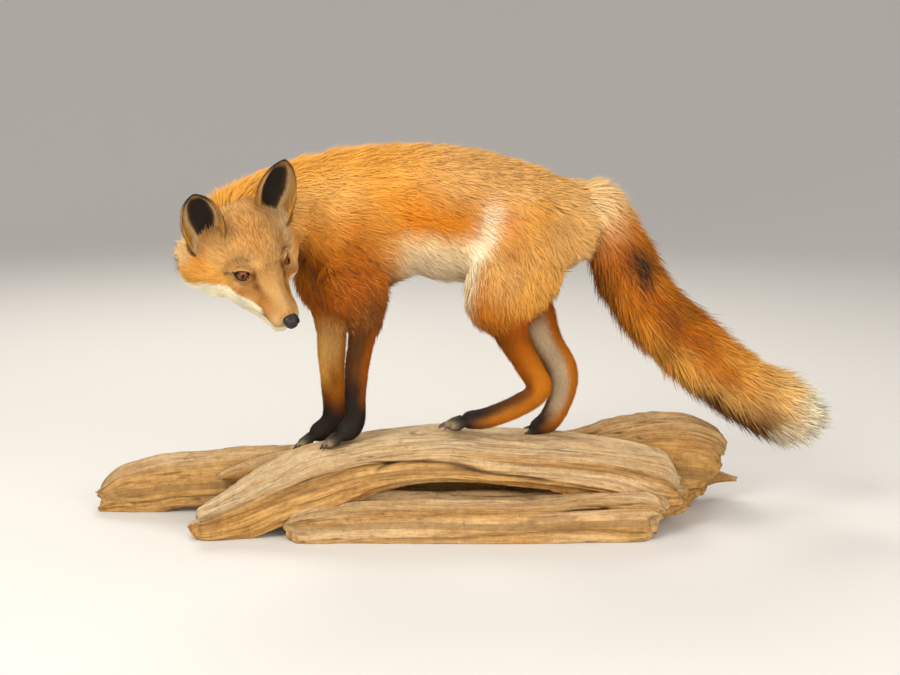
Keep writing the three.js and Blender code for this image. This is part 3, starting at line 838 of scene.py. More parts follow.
def remeshed(parts, voxel):  # one closed surface round overlapping solids
    parts = [(v, outward(v, f)) for v, f in parts]
    verts, faces = joined(parts)
    rough = makePiece("rough", verts / 1000, faces)
    shrink = rough.modifiers.new("union", "REMESH")
    shrink.mode = "VOXEL"
    shrink.voxel_size = voxel / 1000
    solid = rough.evaluated_get(bpy.context.evaluated_depsgraph_get())
    mesh = bpy.data.meshes.new_from_object(solid)
    verts, tris, edges = meshArrays(mesh)
    quads = np.zeros(len(mesh.loops), np.int32)
    mesh.loops.foreach_get("vertex_index", quads)
    bpy.data.objects.remove(rough)
    return verts * 1000, quads.reshape(-1, 4), tris, edges


def filled(verts, tris, edges, rounds, share):  # hollows rise towards the mean of their neighbours
    for _ in range(rounds):
        step = relaxed(verts, edges, 1, 1.0) - verts
        normal = vertexNormals(verts, tris)
        verts = verts + (share * np.maximum(dot(step, normal), 0))[:, None] * normal
    return verts


skinSet = {"voxel": 3.2, "smoothing": 4, "filling": 70, "fill": 0.9, "filledAbove": (200, 290), "lowest": 0.5}
bodyParts = [limbSkin(name, limb) for name, limb in limbs.items()]
for legName in legNames:
    bodyParts += legToes(limbs[legName]["rows"])
bodyVerts, bodyQuads, bodyTris, bodyEdges = remeshed(bodyParts, skinSet["voxel"])
bodyVerts = relaxed(bodyVerts, bodyEdges, skinSet["smoothing"])
fillShare = skinSet["fill"] * smooth(*skinSet["filledAbove"], bodyVerts[:, 2])
bodyVerts = filled(bodyVerts, bodyTris, bodyEdges, skinSet["filling"], fillShare)
bodyVerts[:, 2] = np.maximum(bodyVerts[:, 2], skinSet["lowest"])
print("body skin", len(bodyQuads), "quads")


# where a point lies on the limbs


def limbGuide(points):
    # for every limb: share along it, section angle, and how many section radii away the point is
    guide = {}
    batch = 20000
    for name, limb in limbs.items():
        path = Path(limb["rows"], limb["ref"], step=3.0)
        near = np.zeros(len(points), int)
        centre = path.centre.astype(np.float32)
        for low in range(0, len(points), batch):  # in batches, to keep the distance table small
            block = points[low : low + batch].astype(np.float32)
            far = (block**2).sum(1)[:, None] - 2 * block @ centre.T + (centre**2).sum(1)
            near[low : low + batch] = far.argmin(1)
        arm = points - path.centre[near]
        along = dot(arm, path.tangent[near])
        x, y = dot(arm, path.side[near]), dot(arm, path.up[near])
        reach = np.where(y > 0, path.above[near], path.below[near])
        beyond = np.maximum(np.abs(along) - 3, 0) / 25
        rho = np.sqrt((x / path.half[near]) ** 2 + (y / reach) ** 2 + beyond**2)
        guide[name] = {
            "t": np.clip(path.t[near] + along / path.length, 0, 1),
            "angle": np.arctan2(y / reach, x / path.half[near]),
            "rho": rho,
            "tangent": path.tangent[near],
            "side": path.side[near],
            "up": path.up[near],
        }
    rho = np.stack([guide[n]["rho"] for n in limbNames])
    weight = np.exp(-11 * (rho - rho.min(0)))
    return guide, weight / weight.sum(0)


# head, in its own frame: forward, left, up

headRows = [  # forward, 0, up, then half width and the reach up and down, to the coat's tips
    [-92, 3, -12, 46, 34, 42], [-74, 5, -15, 68, 50, 52], [-52, 5, -18, 76, 57, 55],
    [-30, 5, -19, 69, 53, 52], [-10, 3, -19, 55, 43, 47], [8, 0, -21, 40, 35, 39],
    [26, 0, -24, 28, 26, 34], [45, 0, -26, 21, 19, 31], [62, 0, -27, 15, 15, 28],
]
headForms = [  # place on the left, radii and how far the skin swells there, mirrored to the right
    ((-8, 19, 17), (11, 9, 9), 2.6),  # brow over the inner corner of the eye
    ((-17, 31, 12), (10, 9, 9), 2.6),  # brow over the outer corner
    ((16, 0, 9), (12, 8, 10), -1.6),  # stop between the eyes
    ((-12, 0, 26), (18, 4, 14), -1.2),  # furrow up the forehead
    ((4, 40, -12), (13, 8, 8), 3.0),  # cheek bone under the eye
    ((18, 22, -14), (9, 7, 7), -1.6),  # hollow before the cheek bone
    ((34, 0, -3), (20, 5, 6), 1.2),  # bridge of the nose
    ((34, 16, -10), (16, 6, 6), -1.3),  # hollow along the side of the muzzle
    ((50, 14, -24), (11, 7, 7), 2.0),  # whisker pad
    ((57, 8, -46), (8, 8, 7), 0.8),  # chin
    ((-36, 58, -20), (16, 12, 14), 3.0),  # jaw muscle
    ((-34, 22, 24), (16, 12, 14), 1.6),  # crown before the ear
]
mouthLine = ([8, 25, 43, 54, 60, 68], [-40, -33, -29, -31.5, -34, -36])  # distances forward, heights
headBack, headLength, faceLength = 92, 152, 156  # the back of the skull, and two lengths forward from it


def headDepth(share, angle):
    base = np.interp(share, (0, 0.2, 0.4, 0.56, 0.72, 1), (12, 12, 8.5, 4.6, 2.6, 1.8))
    return base * (1 - 0.45 * smooth(0.3, 0.8, np.sin(angle)))


def eyeBasis(name):  # the gaze, the way to the inner corner and the way up over the lids
    side = sides[name]
    gaze = unit(mirrored(eyeSet["gaze"], side))
    inner = mirrored(eyeSet["inner"], side)
    inner = unit(inner - dot(inner, gaze) * gaze)
    over = np.cross(gaze, inner)
    return gaze, inner, over * np.sign(over[2])


def lidOpening(turn):
    # polar angles of the almond, in degrees: across * cos, and above or below * |sin|^1.15
    wide, above, below = eyeSet["almond"]
    c, s = np.cos(turn), np.sin(turn)
    return wide * c, np.where(s > 0, above, below) * np.sign(s) * np.abs(s) ** 1.15


def shapedHead(points):
    # each form swells the skin by height * exp(-|distance / radii|^2) along its normal
    sideways = np.roll(points, -1, 1) - np.roll(points, 1, 1)
    normal = unit(np.cross(sideways, np.gradient(points, axis=0)))
    normal *= np.sign(dot(normal, points - points.mean(1, keepdims=True)))[..., None]
    away = onLeft(points)
    swell = np.zeros(points.shape[:2])
    for place, radii, height in headForms:
        swell += height * np.exp(-(((away - place) / radii) ** 2).sum(-1))
    front = smooth(14, 40, points[..., 0])
    off = points[..., 2] - np.interp(points[..., 0], *mouthLine)
    swell += front * (-2.2 * hump(off, 1.5) + 1.3 * hump(off - 3.2, 2.4))
    swell += front * -1.6 * smooth(-0.5, -5, off) * smooth(0, 8, away[..., 1])
    part = hump(away[..., 1], 0.9) * smooth(52, 60, points[..., 0])
    swell -= 1.4 * (part * smooth(-44, -36, points[..., 2]))
    return points + swell[..., None] * normal


def dippedHead(points):
    for name in sides:  # the skin dips behind each eyeball, under its lids
        gaze = eyeBasis(name)[0]
        arm = points - np.array(eyeSet[name])
        height = dot(arm, gaze)
        wide = np.sqrt(np.maximum((arm**2).sum(-1) - height**2, 0))
        floorAt = np.sqrt(np.maximum(eyeSet["radius"] ** 2 - wide**2, 0)) - 4.0
        dip = smooth(13.5, 10.2, wide) * (height > -14)
        points = points - (np.maximum(height - floorAt, 0) * dip)[..., None] * gaze
    return points


def headSkin():
    points = loft(
        headRows, (0, 0, 1), inset=headDepth, round=(22, 5), around=190, step=1.15, boxy=0.85, pear=(
            0.5, 0.12
        )
    )[2]
    full = shapedHead(points)
    verts, faces = closedLoft(dippedHead(full))
    return full.reshape(-1, 3), verts, faces


fullFace, headVerts, headFaces = headSkin()
headFaces = outward(headVerts, headFaces)
print("head skin", len(headVerts), "points")

earSet = {
    "base": (-50, 46, 16), "tip": (-72, 61, 88), "half": 24.5, "wall": 2.6,
    "front": {"left": (0.85, -0.22, 0.40), "right": (0.85, -0.45, 0.35)},
}


def earShell(name, levels=56, steps=44):
    # half width at height v = half * (0.84 + 0.74 v) * (1 - v^1.8)^0.78, drawn in below the base; the
    # cup is base + v * axis + sin(a) * (half - wall) * across
    # - (cos(a) * (depth - wall) + 0.26 * depth) * front
    base = mirrored(earSet["base"], sides[name])
    axis = mirrored(earSet["tip"], sides[name]) - base
    front = np.array(earSet["front"][name], float)
    across = unit(np.cross(axis, front))
    front = unit(np.cross(across, axis))
    v = np.concatenate([np.linspace(-0.45, 0.9, levels - 12), np.linspace(0.9, 0.985, 13)[1:]])[:, None]
    a = np.radians(np.linspace(-105, 105, steps + 1))[None, :]
    up = np.maximum(v, 0)
    half = earSet["half"] * (0.84 + 0.74 * up) * (1 - up**1.8) ** 0.78
    half = half * (0.5 + 0.5 * smooth(-0.42, -0.04, v))
    depth = half * (0.95 - 0.4 * up)
    layers = []
    for wall in (0.0, 1.0):
        thin = wall * earSet["wall"] * (1 - 0.45 * up) * (1 - 0.5 * np.abs(a / a.max()) ** 6)
        reach = np.sin(a) * np.maximum(half - thin, 0.6)
        cup = -np.cos(a) * np.maximum(depth - thin, 0.4) - 0.26 * depth
        layers.append(base + v[..., None] * axis + reach[..., None] * across + cup[..., None] * front)
    outer, inner = layers
    loop = np.concatenate([outer, inner[:, ::-1]], 1)  # out across the back, in across the cup
    verts, faces = closedLoft(loop)
    count = loop.shape[1]
    shape = outer.shape[:2]
    share = np.concatenate([np.broadcast_to(way / a.max(), shape) for way in (a, a[:, ::-1])], 1)
    isInner = np.concatenate([np.zeros(shape), np.ones(shape)], 1)
    pad = lambda x: np.concatenate(
        [np.broadcast_to(x, (len(v), count)).ravel(), [x.ravel()[0], x.ravel()[-1]]]
    )
    return {
        "verts": headToWorld(verts), "faces": outward(verts, faces),
        "v": pad(v + 0 * share), "edge": pad(share), "inner": pad(isInner),
        "axis": unit(axis @ headAxes), "across": unit(across @ headAxes),
    }


ears = {name: earShell(name) for name in sides}


# eyes, lids, nose and claws


def eyeFinish():
    finish = Finish("eyeGlass", Roughness=0.05, Specular_IOR_Level=0.2, Coat_Weight=0.25, Coat_Roughness=0.02)
    place = finish.attribute("disc", colour=True)
    part = finish.node("ShaderNodeSeparateXYZ", {0: place})
    x, y = part, Sock(finish, part.socket.node.outputs[1])
    radius = finish.math("SQRT", x * x + y * y)
    turn = finish.math("ARCTAN2", y, x)
    spokes = finish.node("ShaderNodeCombineXYZ", {0: turn * 9.0, 1: radius * 0.22})
    threads = finish.noise(spokes, 1.6, detail=3)
    rim = eyeSet["irisRadius"]
    iris = finish.mix(finish.rise(radius, 1.5, rim), (0.27, 0.068, 0.004), (0.11, 0.021, 0.003))
    iris = finish.mix(finish.rise(threads, 0.35, 0.7) * 0.6, iris, (0.06, 0.012, 0.003))
    iris = finish.mix(finish.rise(radius, rim - 1.3, rim), iris, (0.02, 0.008, 0.004))
    across, tall = eyeSet["pupil"]
    slit = finish.math("SQRT", (x * (1 / across)) ** 2.0 + (y * (1 / tall)) ** 2.0)
    colour = finish.mix(finish.rise(slit, 0.85, 1.1), (0.003, 0.002, 0.002), iris)
    finish.set(Base_Color=colour)
    return finish


def polarBall(name, polar, turn, radius):  # a grid of polar angles round the gaze, at a radius each
    gaze, inner, over = eyeBasis(name)
    way = np.cos(turn)[..., None] * inner + np.sin(turn)[..., None] * over
    ray = np.cos(polar)[..., None] * gaze + np.sin(polar)[..., None] * way
    return np.array(eyeSet[name]) + radius[..., None] * ray


def eyeBall(name):
    # radius = eye radius + a clear bulge of 0.5 * exp(-(polar / 36 degrees)^2)
    polar = np.radians(np.concatenate([np.linspace(1, 60, 40), np.linspace(63, 178, 30)]))[:, None]
    turn = np.linspace(0, 2 * np.pi, 72, endpoint=False)[None, :]
    polar, turn = np.broadcast_arrays(polar, turn)
    radius = eyeSet["radius"] - 0.35 + 0.5 * hump(np.degrees(polar), 36)
    verts, faces = closedLoft(polarBall(name, polar, turn, radius))
    flat = np.minimum(np.degrees(polar), 150) / 57.3 * eyeSet["radius"]  # 57.3 degrees in a radian
    disc = np.stack([flat * np.cos(turn), flat * np.sin(turn), 0 * turn], -1).reshape(-1, 3)
    disc = np.vstack([disc, [[0, 0, 0], [40, 0, 0]]])
    world = headToWorld(verts)
    piece = makePiece(f"eye_ball_{name}", toFrame(world), outward(world, faces), {"disc": disc})
    return dress(piece, eyeFinish(), "eye_glass", f"eye_{name}")


def faceHeight(name, x, y):
    # of the face over the eye's middle: a mean weighted by exp(-(distance / 2.5)^2)
    gaze, inner, over = eyeBasis(name)
    arm = fullFace - np.array(eyeSet[name])
    arm = arm[(np.linalg.norm(arm, axis=1) < 30) & (dot(arm, gaze) > -10)]
    far = (x.ravel()[:, None] - dot(arm, inner)) ** 2 + (y.ravel()[:, None] - dot(arm, over)) ** 2
    weight = np.exp(-far / 6.25)
    return (weight @ dot(arm, gaze) / weight.sum(1)).reshape(x.shape)


def eyeLids(name):
    # from the almond opening on the eyeball (v = 0) out to under the face's skin (v = 1), in the plane
    # across the gaze; the height blends from the eyeball's to the face's
    gaze, inner, over = eyeBasis(name)
    turn = np.linspace(0, 2 * np.pi, 108, endpoint=False)[None, :]
    v = np.concatenate([np.linspace(0, 0.12, 6), np.linspace(0.16, 1, 18)])[:, None]
    x, y = lidOpening(turn)
    polar, way = np.radians(np.hypot(x, y)), np.arctan2(y, x)
    ball = eyeSet["radius"] + 0.3
    rimX = ball * np.sin(polar) * np.cos(way)
    rimY = ball * np.sin(polar) * np.sin(way)
    rimHigh = ball * np.cos(polar)
    x = rimX + (16.0 * np.cos(turn) - rimX) * v
    y = rimY + (14.5 * np.sin(turn) - rimY) * v
    high = rimHigh + (faceHeight(name, x, y) - rimHigh) * smooth(0.0, 0.55, v)
    above = smooth(0, 0.5, np.sin(turn))
    high = high + 0.8 * smooth(0, 0.10, v) * smooth(0.6, 0.2, v)
    high = high + 0.2 * smooth(0.3, 0.5, v) - 1.9 * smooth(0.74, 1, v)
    fold = 0.5 * hump(v - 0.40, 0.14) - 0.35 * hump(v - 0.24, 0.06)
    high = high + above * fold
    clear = np.sqrt(np.maximum((ball + 0.5 * smooth(0, 0.1, v)) ** 2 - x**2 - y**2, 0))
    high = np.maximum(high, clear)
    flat = np.array(eyeSet[name]) + x[..., None] * inner + y[..., None] * over
    place = lambda h: flat + h[..., None] * gaze
    loop = np.concatenate([place(high), place(high - 1.0 - 2.0 * smooth(0.1, 0.5, v))[::-1]], 0)
    rings, around = loop.shape[:2]
    quads = ringGrid(rings, around)
    k = np.arange(around)
    n = (k + 1) % around
    last = (rings - 1) * around
    shut = np.stack([last + k, last + n, n, k], -1)
    verts = loop.reshape(-1, 3)
    share = np.concatenate([v, 0 * v[::-1]], 0) + 0 * turn
    corner = 0.10 + 0.34 * hump(np.sin(turn), 0.2)
    rim = smooth(0.07, -0.04, share - corner)
    faces = outward(verts, [quads, shut])
    return {"verts": headToWorld(verts), "faces": faces, "rim": rim.ravel(), "share": share.ravel()}


lids = {name: eyeLids(name) for name in sides}
for eyeName in sides:
    eyeBall(eyeName)

noseSet = {"place": (65.0, 0, -22.8), "half": (8.4, 9.4, 7.8), "square": 2.7}


def makeNose():
    # a squared ball, radius = (|x|^n + |y|^n + |z|^n)^(-1/n); the nostrils sink it by
    # depth * exp(-|distance / size|^2) and a groove parts it below
    ring = np.radians(np.concatenate([np.linspace(2, 120, 90), np.linspace(124, 178, 10)]))[:, None]
    turn = np.linspace(0, 2 * np.pi, 120, endpoint=False)[None, :]
    way = np.stack([np.cos(ring) + 0 * turn, np.sin(ring) * np.cos(turn), np.sin(ring) * np.sin(turn)], -1)
    power = noseSet["square"]
    way = way / ((np.abs(way) ** power).sum(-1) ** (1 / power))[..., None]
    narrow = 1 - 0.20 * smooth(0.1, -0.9, way[..., 2]) - 0.10 * smooth(0.2, 1, way[..., 0])
    points = way * np.array(noseSet["half"])
    points[..., 1] *= narrow
    points[..., 2] -= 1.6 * smooth(0.0, 1.0, way[..., 0]) * smooth(-0.2, 0.8, way[..., 2])
    away = onLeft(points)
    front = smooth(-1, 2.5, points[..., 0])
    hole = np.exp(-(((away - [7.4, 4.1, 0.2]) / [4.0, 1.7, 1.5]) ** 2).sum(-1))
    comma = np.exp(-(((away - [6.0, 7.2, -1.6]) / [3.6, 2.6, 0.8]) ** 2).sum(-1))
    wing = np.exp(-(((away - [5.6, 7.0, 1.2]) / [4, 2.2, 1.6]) ** 2).sum(-1))
    groove = hump(points[..., 1], 0.5) * smooth(3.0, -1.0, points[..., 2]) * front
    sink = 3.6 * hole + 2.0 * comma - 0.6 * wing + 0.8 * groove
    pebble = 0.11 * noise(points, 0.9, 3) * front * (1 - hole)
    points = points + (pebble - sink)[..., None] * unit(points + [2.0, 0, 0])
    verts, faces = closedLoft(points + noseSet["place"])
    world = headToWorld(verts)
    finish = Finish(
        "noseLeather", Roughness=0.36, Specular_IOR_Level=0.32, Coat_Weight=0.10, Coat_Roughness=0.2
    )
    grain = finish.node("ShaderNodeTexVoronoi", {"Vector": finish.objectPlace(), "Scale": 1500.0})
    tone = finish.noise(finish.objectPlace(), 300.0, detail=2)
    colour = finish.mix(finish.rise(tone, 0.3, 0.7), (0.007, 0.006, 0.006), (0.018, 0.015, 0.015))
    # painted shade: the nostrils and the groove below them are painted darker than the leather
    finish.set(Base_Color=finish.mix(finish.attribute("hollowShade"), colour, (0.002, 0.002, 0.002)))
    finish.bump(grain, 0.4, 0.0003)
    # painted shade: strongest in the nostrils, weaker along the groove
    hollowShade = np.concatenate([np.clip(1.3 * hole + comma + 0.6 * groove, 0, 1).ravel(), [0, 0]])
    piece = makePiece("nose_pad", toFrame(world), outward(world, faces), {"hollowShade": hollowShade})
    return dress(piece, finish, "nose_leather", "nose")


makeNose()


def makeClaws(name, rows):
    # a tapering horn bent down an arc: radius = 2.15 * (1 - share)^0.75
    parts = []
    share = np.linspace(0, 1, 14)[:, None]
    turn = np.linspace(0, 2 * np.pi, 12, endpoint=False)[None, :]
    for place, axes in toeFrames(rows):
        bend = 0.75 * share
        forward = -7.5 - 11.5 * np.sin(bend) / 0.75
        down = 1.2 - 11.5 * (1 - np.cos(bend)) / 0.75
        size = 2.15 * np.clip(1 - share, 0.03, 1) ** 0.75
        x = forward + 0 * turn - size * np.sin(turn) * np.sin(bend)
        y = 0.72 * size * np.cos(turn)
        z = down + size * np.sin(turn) * np.cos(bend)
        parts.append(closedLoft(place + np.stack([x, y, z], -1) @ axes))
    verts, faces = joined(parts)
    finish = Finish(f"clawHorn_{name}", Roughness=0.32, Specular_IOR_Level=0.5)
    streak = finish.noise(finish.objectPlace(scale=(60, 400, 400)), 1.0, detail=2)
    finish.set(
        Base_Color=finish.mix(finish.rise(streak, 0.35, 0.65), (0.030, 0.020, 0.014), (0.10, 0.065, 0.04))
    )
    finish.bump(streak, 0.2, 0.0003)
    return dress(makePiece(f"claws_{name}", toFrame(verts), outward(verts, faces)), finish, "claw")


for limbName in legNames:
    makeClaws(limbName, limbs[limbName]["rows"])
print("eyes, nose and claws made")


# markings: linear colours of the coat, laid out the same on its skin and its hair; the skin's copy is
# darkened later as painted shade

hues = {
    "gold": (0.74, 0.34, 0.055), "paleGold": (0.80, 0.46, 0.15), "orange": (0.60, 0.19, 0.009),
    "deep": (0.38, 0.090, 0.003), "rust": (0.20, 0.054, 0.004), "tan": (0.66, 0.35, 0.11),
    "cream": (0.80, 0.58, 0.31), "white": (0.95, 0.82, 0.58), "greyWhite": (0.60, 0.46, 0.29),
    "brown": (0.105, 0.038, 0.009), "black": (0.018, 0.012, 0.009), "amber": (0.50, 0.155, 0.007),
    "dun": (0.46, 0.24, 0.070),
}


def along(share, *stops):  # colours at shares of the way, blended between
    places, names = zip(*stops)
    table = np.array([hues[n] for n in names])
    return np.stack([np.interp(share, places, table[:, k]) for k in range(3)], -1)


def blendOver(colour, other, amount):  # the other colour is a hue's name or an array
    other = np.array(hues[other]) if isinstance(other, str) else other
    return colour + (other - colour) * np.clip(amount, 0, 1)[..., None]


def blob(points, place, radii):  # 1 at the place, fading out over the radii
    return np.exp(-(((points - np.array(place)) / np.array(radii)) ** 2).sum(-1) * 1.4)


def patched(colour, points, patches):  # spots of a hue: place, radii, hue, strength
    for place, radii, name, strength in patches:
        colour = blendOver(colour, name, strength * blob(points, place, radii))
    return colour


def layered(height, *levels):  # colours stacked from the belly (-1) to the back (1)
    out = levels[0][1]
    for below, (high, colour) in zip(levels, levels[1:]):
        out = out + (colour - out) * smooth(below[0], high, height)[..., None]
    return out


limbHues = {  # hues at shares of the way along each stripe of a limb
    "trunk": {
        "belly": (
            (0, "rust"), (0.19, "deep"), (0.25, "dun"), (0.31, "greyWhite"), (0.62, "greyWhite"),
            (0.75, "cream"), (1, "tan"),
        ),
        "lower": ((0.19, "amber"), (0.27, "tan"), (0.34, "cream"), (0.62, "cream"), (0.72, "tan")),
        "flank": (
            (0, "orange"), (0.24, "gold"), (0.36, "orange"), (0.6, "orange"), (0.8, "tan"), (1, "paleGold")
        ),
        "back": ((0.3, "gold"), (0.5, "tan"), (0.8, "tan"), (1, "paleGold")),
    },
    "neck": {
        "under": ((0, "deep"), (0.5, "rust"), (1, "amber")),
        "flank": ((0, "gold"), (0.4, "tan"), (0.8, "gold")),
        "back": ((0, "gold"), (1, "gold")),
    },
    "tail": {
        "low": (
            (0, "paleGold"), (0.04, "tan"), (0.09, "deep"), (0.34, "orange"), (0.5, "gold"),
            (0.80, "paleGold"),
        ),
        "middle": ((0.04, "tan"), (0.09, "deep"), (0.5, "deep"), (0.64, "orange"), (0.80, "paleGold")),
        "top": ((0.04, "paleGold"), (0.12, "amber"), (0.5, "amber"), (0.66, "gold"), (0.80, "paleGold")),
    },
    "front_left": {
        "back": (
            (0, "orange"), (0.22, "amber"), (0.36, "deep"), (0.6, "deep"), (0.8, "rust"), (0.9, "brown")
        ),
        "front": (
            (0, "amber"), (0.2, "deep"), (0.32, "rust"), (0.40, "brown"), (0.60, "brown"), (0.72, "black")
        ),
    },
    "front_right": {
        "back": (
            (0, "orange"), (0.30, "deep"), (0.42, "amber"), (0.68, "amber"), (0.80, "rust"), (0.9, "brown")
        ),
        "front": (
            (0, "amber"), (0.34, "deep"), (0.43, "gold"), (0.62, "gold"), (0.72, "rust"), (0.80, "black")
        ),
    },
    "hind": {
        "back": (
            (0, "tan"), (0.25, "gold"), (0.38, "deep"), (0.48, "deep"), (0.62, "orange"), (0.88, "amber"),
            (0.97, "black"),
        ),
        "front": (
            (0, "gold"), (0.2, "tan"), (0.32, "amber"), (0.42, "rust"), (0.56, "deep"), (0.70, "rust"),
            (0.82, "brown"), (0.93, "black"),
        ),
    },
}


def stripes(name, share):  # the colours of a limb's stripes, in the order of limbHues
    return [along(share, *stops) for stops in limbHues[name].values()]


def trunkColour(g, points):
    t, s = g["t"], np.sin(g["angle"])
    belly, lower, flank, back = stripes("trunk", t)
    height = s + 0.05 * noise(points, 16, 30)
    return layered(height, (-0.74, belly), (-0.42, lower), (-0.10, flank), (0.66, back))


def neckColour(g, points):
    t, s = g["t"], np.sin(g["angle"])
    under, flank, back = stripes("neck", t)
    return layered(s, (-0.9, under), (-0.55, flank), (0.25, flank), (0.85, back))


def tailColour(g, points):
    t, s = g["t"], np.sin(g["angle"])
    low, middle, top = stripes("tail", t)
    colour = layered(s, (-0.6, low), (0.1, middle), (0.8, top))
    cloud = 0.50 * smooth(0.0, 0.5, noise(points, (20, 20, 34), 32))
    colour = blendOver(colour, "rust", cloud * smooth(0.15, 0.25, t) * smooth(0.8, 0.6, t))
    fringe = smooth(-0.50, -0.85, s) * smooth(0.5, 0.66, t) * smooth(1.0, 0.90, t)
    colour = blendOver(colour, "brown", 0.95 * fringe)
    colour = blendOver(
        colour, "brown", 0.6 * smooth(-0.6, -1, s) * smooth(0.12, 0.2, t) * smooth(0.5, 0.35, t)
    )
    spot = hump(t - 0.225, 0.050) * hump(s - 0.38, 0.30)
    colour = blendOver(colour, "black", 1.5 * (spot * (np.cos(g["angle"]) > -0.2)))
    band = 0.8 * hump(t - 0.79, 0.06)
    colour = blendOver(colour, "brown", band * smooth(0.5, -0.5, s + 0.4 * noise(points, 7, 33)))
    return blendOver(colour, "white", smooth(0.81, 0.89, t + 0.03 * noise(points, 9, 31)))


def innerSide(name, g):  # 1 on the inner side of a leg, -1 on its outer side
    outward = np.cos(g["angle"]) * g["side"][:, 1] + np.sin(g["angle"]) * g["up"][:, 1]
    return outward * (1 if name.endswith("left") else -1)


def frontColour(name):
    def colourAt(g, points):
        t, s = g["t"], np.sin(g["angle"])
        inner = innerSide(name, g)
        back, front = stripes(name, t)
        reach = 0.50 if name.endswith("left") else 0.0  # how far the dark front wraps round the near leg
        split = smooth(-0.25, 0.25, s + reach + 0.15 * noise(points, 9, 41))
        colour = back + (front - back) * split[..., None]
        streak = smooth(0.1, 0.6, noise(points, (5, 5, 16), 42)) * smooth(0.36, 0.5, t)
        colour = blendOver(colour, "rust", 0.6 * streak * smooth(0.5, -0.3, s))
        pale = 0.7 * smooth(0.35, 0.85, inner) * smooth(0.30, 0.42, t) * smooth(0.66, 0.5, t)
        colour = blendOver(colour, "paleGold", pale)
        return blendOver(colour, "black", smooth(0.74, 0.86, t))

    return colourAt


def hindColour(name):
    def colourAt(g, points):
        t, s = g["t"], np.sin(g["angle"])
        inner = innerSide(name, g)
        back, front = stripes("hind", t)
        place = s - 0.25 * smooth(0.58, 0.72, t) + 0.15 * noise(points, 9, 43)
        colour = back + (front - back) * smooth(-0.3, 0.3, place)[..., None]
        colour = blendOver(colour, "cream", smooth(0.80, 0.98, s) * smooth(0.40, 0.25, t))
        streak = smooth(0.4, 0.7, inner) * smooth(0.38, 0.48, t) * smooth(0.92, 0.80, t)
        colour = blendOver(colour, "brown", 0.8 * streak * smooth(0.55, 0.85, s))
        return blendOver(colour, "greyWhite", 0.9 * streak * smooth(-0.40, 0.0, s) * smooth(0.95, 0.6, s))

    return colourAt


limbColour = {"trunk": trunkColour, "neck": neckColour, "tail": tailColour}
for limbName in legNames:
    limbColour[limbName] = (frontColour if limbName.startswith("front") else hindColour)(limbName)

bodyPatches = [  # mirrored to the far side where `both`: place, radii, hue, strength
    ((36, -66, 388), (13, 40, 26), "white", 0.95, True),
    ((25, -64, 356), (13, 40, 30), "white", 1.05, True),
    ((19, -60, 318), (11, 36, 26), "white", 1.0, True),
    ((70, -70, 368), (22, 34, 34), "deep", 0.50, True),
    ((60, -72, 318), (28, 34, 30), "tan", 0.5, True),
    ((116, -66, 382), (28, 34, 30), "dun", 0.55, True),
    ((-124, -66, 376), (32, 30, 34), "deep", 0.85, True),
    ((-112, -60, 326), (50, 30, 42), "deep", 0.85, True),
    ((-100, -60, 282), (30, 34, 30), "rust", 1.0, True),
    ((-94, -60, 274), (20, 34, 24), "brown", 0.5, True),
    # painted shade: on the far side only, a deep patch at the top of the far foreleg under the chest
    ((-160, 40, 262), (26, 30, 24), "deep", 0.6, False),
    ((-168, -40, 350), (14, 40, 44), "rust", 0.55, True),
    ((-154, -60, 430), (36, 30, 42), "paleGold", 0.9, True),
    ((-62, -66, 408), (46, 40, 26), "orange", 0.55, True),
    ((176, -20, 405), (26, 46, 34), "cream", 0.75, True),
]


def bodyColour(points, guide, weight):
    colour = np.zeros((len(points), 3))
    for index, name in enumerate(limbNames):
        colour += weight[index][:, None] * limbColour[name](guide[name], points)
    for place, radii, name, strength, both in bodyPatches:
        amount = blob(points, place, radii)
        if both:
            amount = np.maximum(amount, blob(points * [1, -1, 1], place, radii))
        colour = blendOver(colour, name, strength * amount)
    for name in legNames:  # painted highlights: pale cream on the tips of the toes
        for place, axes in toeFrames(limbs[name]["rows"]):
            tip = place + np.array([-5, 0, 1.5]) @ axes
            colour = blendOver(colour, "cream", 0.75 * blob(points, tip, (6.5, 6.5, 5.5)))
    mottle = 1 + 0.10 * fractal(points, (26, 18, 18), 2, 51) + 0.06 * noise(points, 7, 52)
    return np.clip(colour * mottle[:, None], 0, 1)


whiteLine = (  # upper edge of the white jaw: distances forward, heights
    [-92, -70, -54, -42, -30, -20, 0, 17, 36, 46, 60],
    [-80, -68, -55, -42, -29, -22, -17, -19, -22.5, -28.5, -34],
)
cheekPatches = [  # on the head's left side, mirrored to the right: place, radii, hue, strength
    ((-24, 46, 2), (16, 12, 12), "paleGold", 0.6),
    ((-38, 52, -8), (16, 14, 9), "amber", 0.55),
    ((34, 18, -14), (16, 8, 8), "amber", 0.85),
    ((12, 33, -14), (14, 12, 8), "amber", 0.7),
]
darkPatches = [  # laid over the pale bridge of the nose
    ((44, 18, -25), (9, 8, 5), "rust", 0.5),
    ((11, 18, 3), (7, 4.5, 6), "rust", 1.0),
    ((19, 18, -4), (7, 5, 6), "rust", 1.0),
    ((29, 17, -10), (8, 5, 6), "rust", 0.6),
    ((-12, 40, 0), (7, 6, 2.6), "brown", 0.85),
    ((-19, 47, -3), (8, 6, 2.8), "brown", 0.85),
]


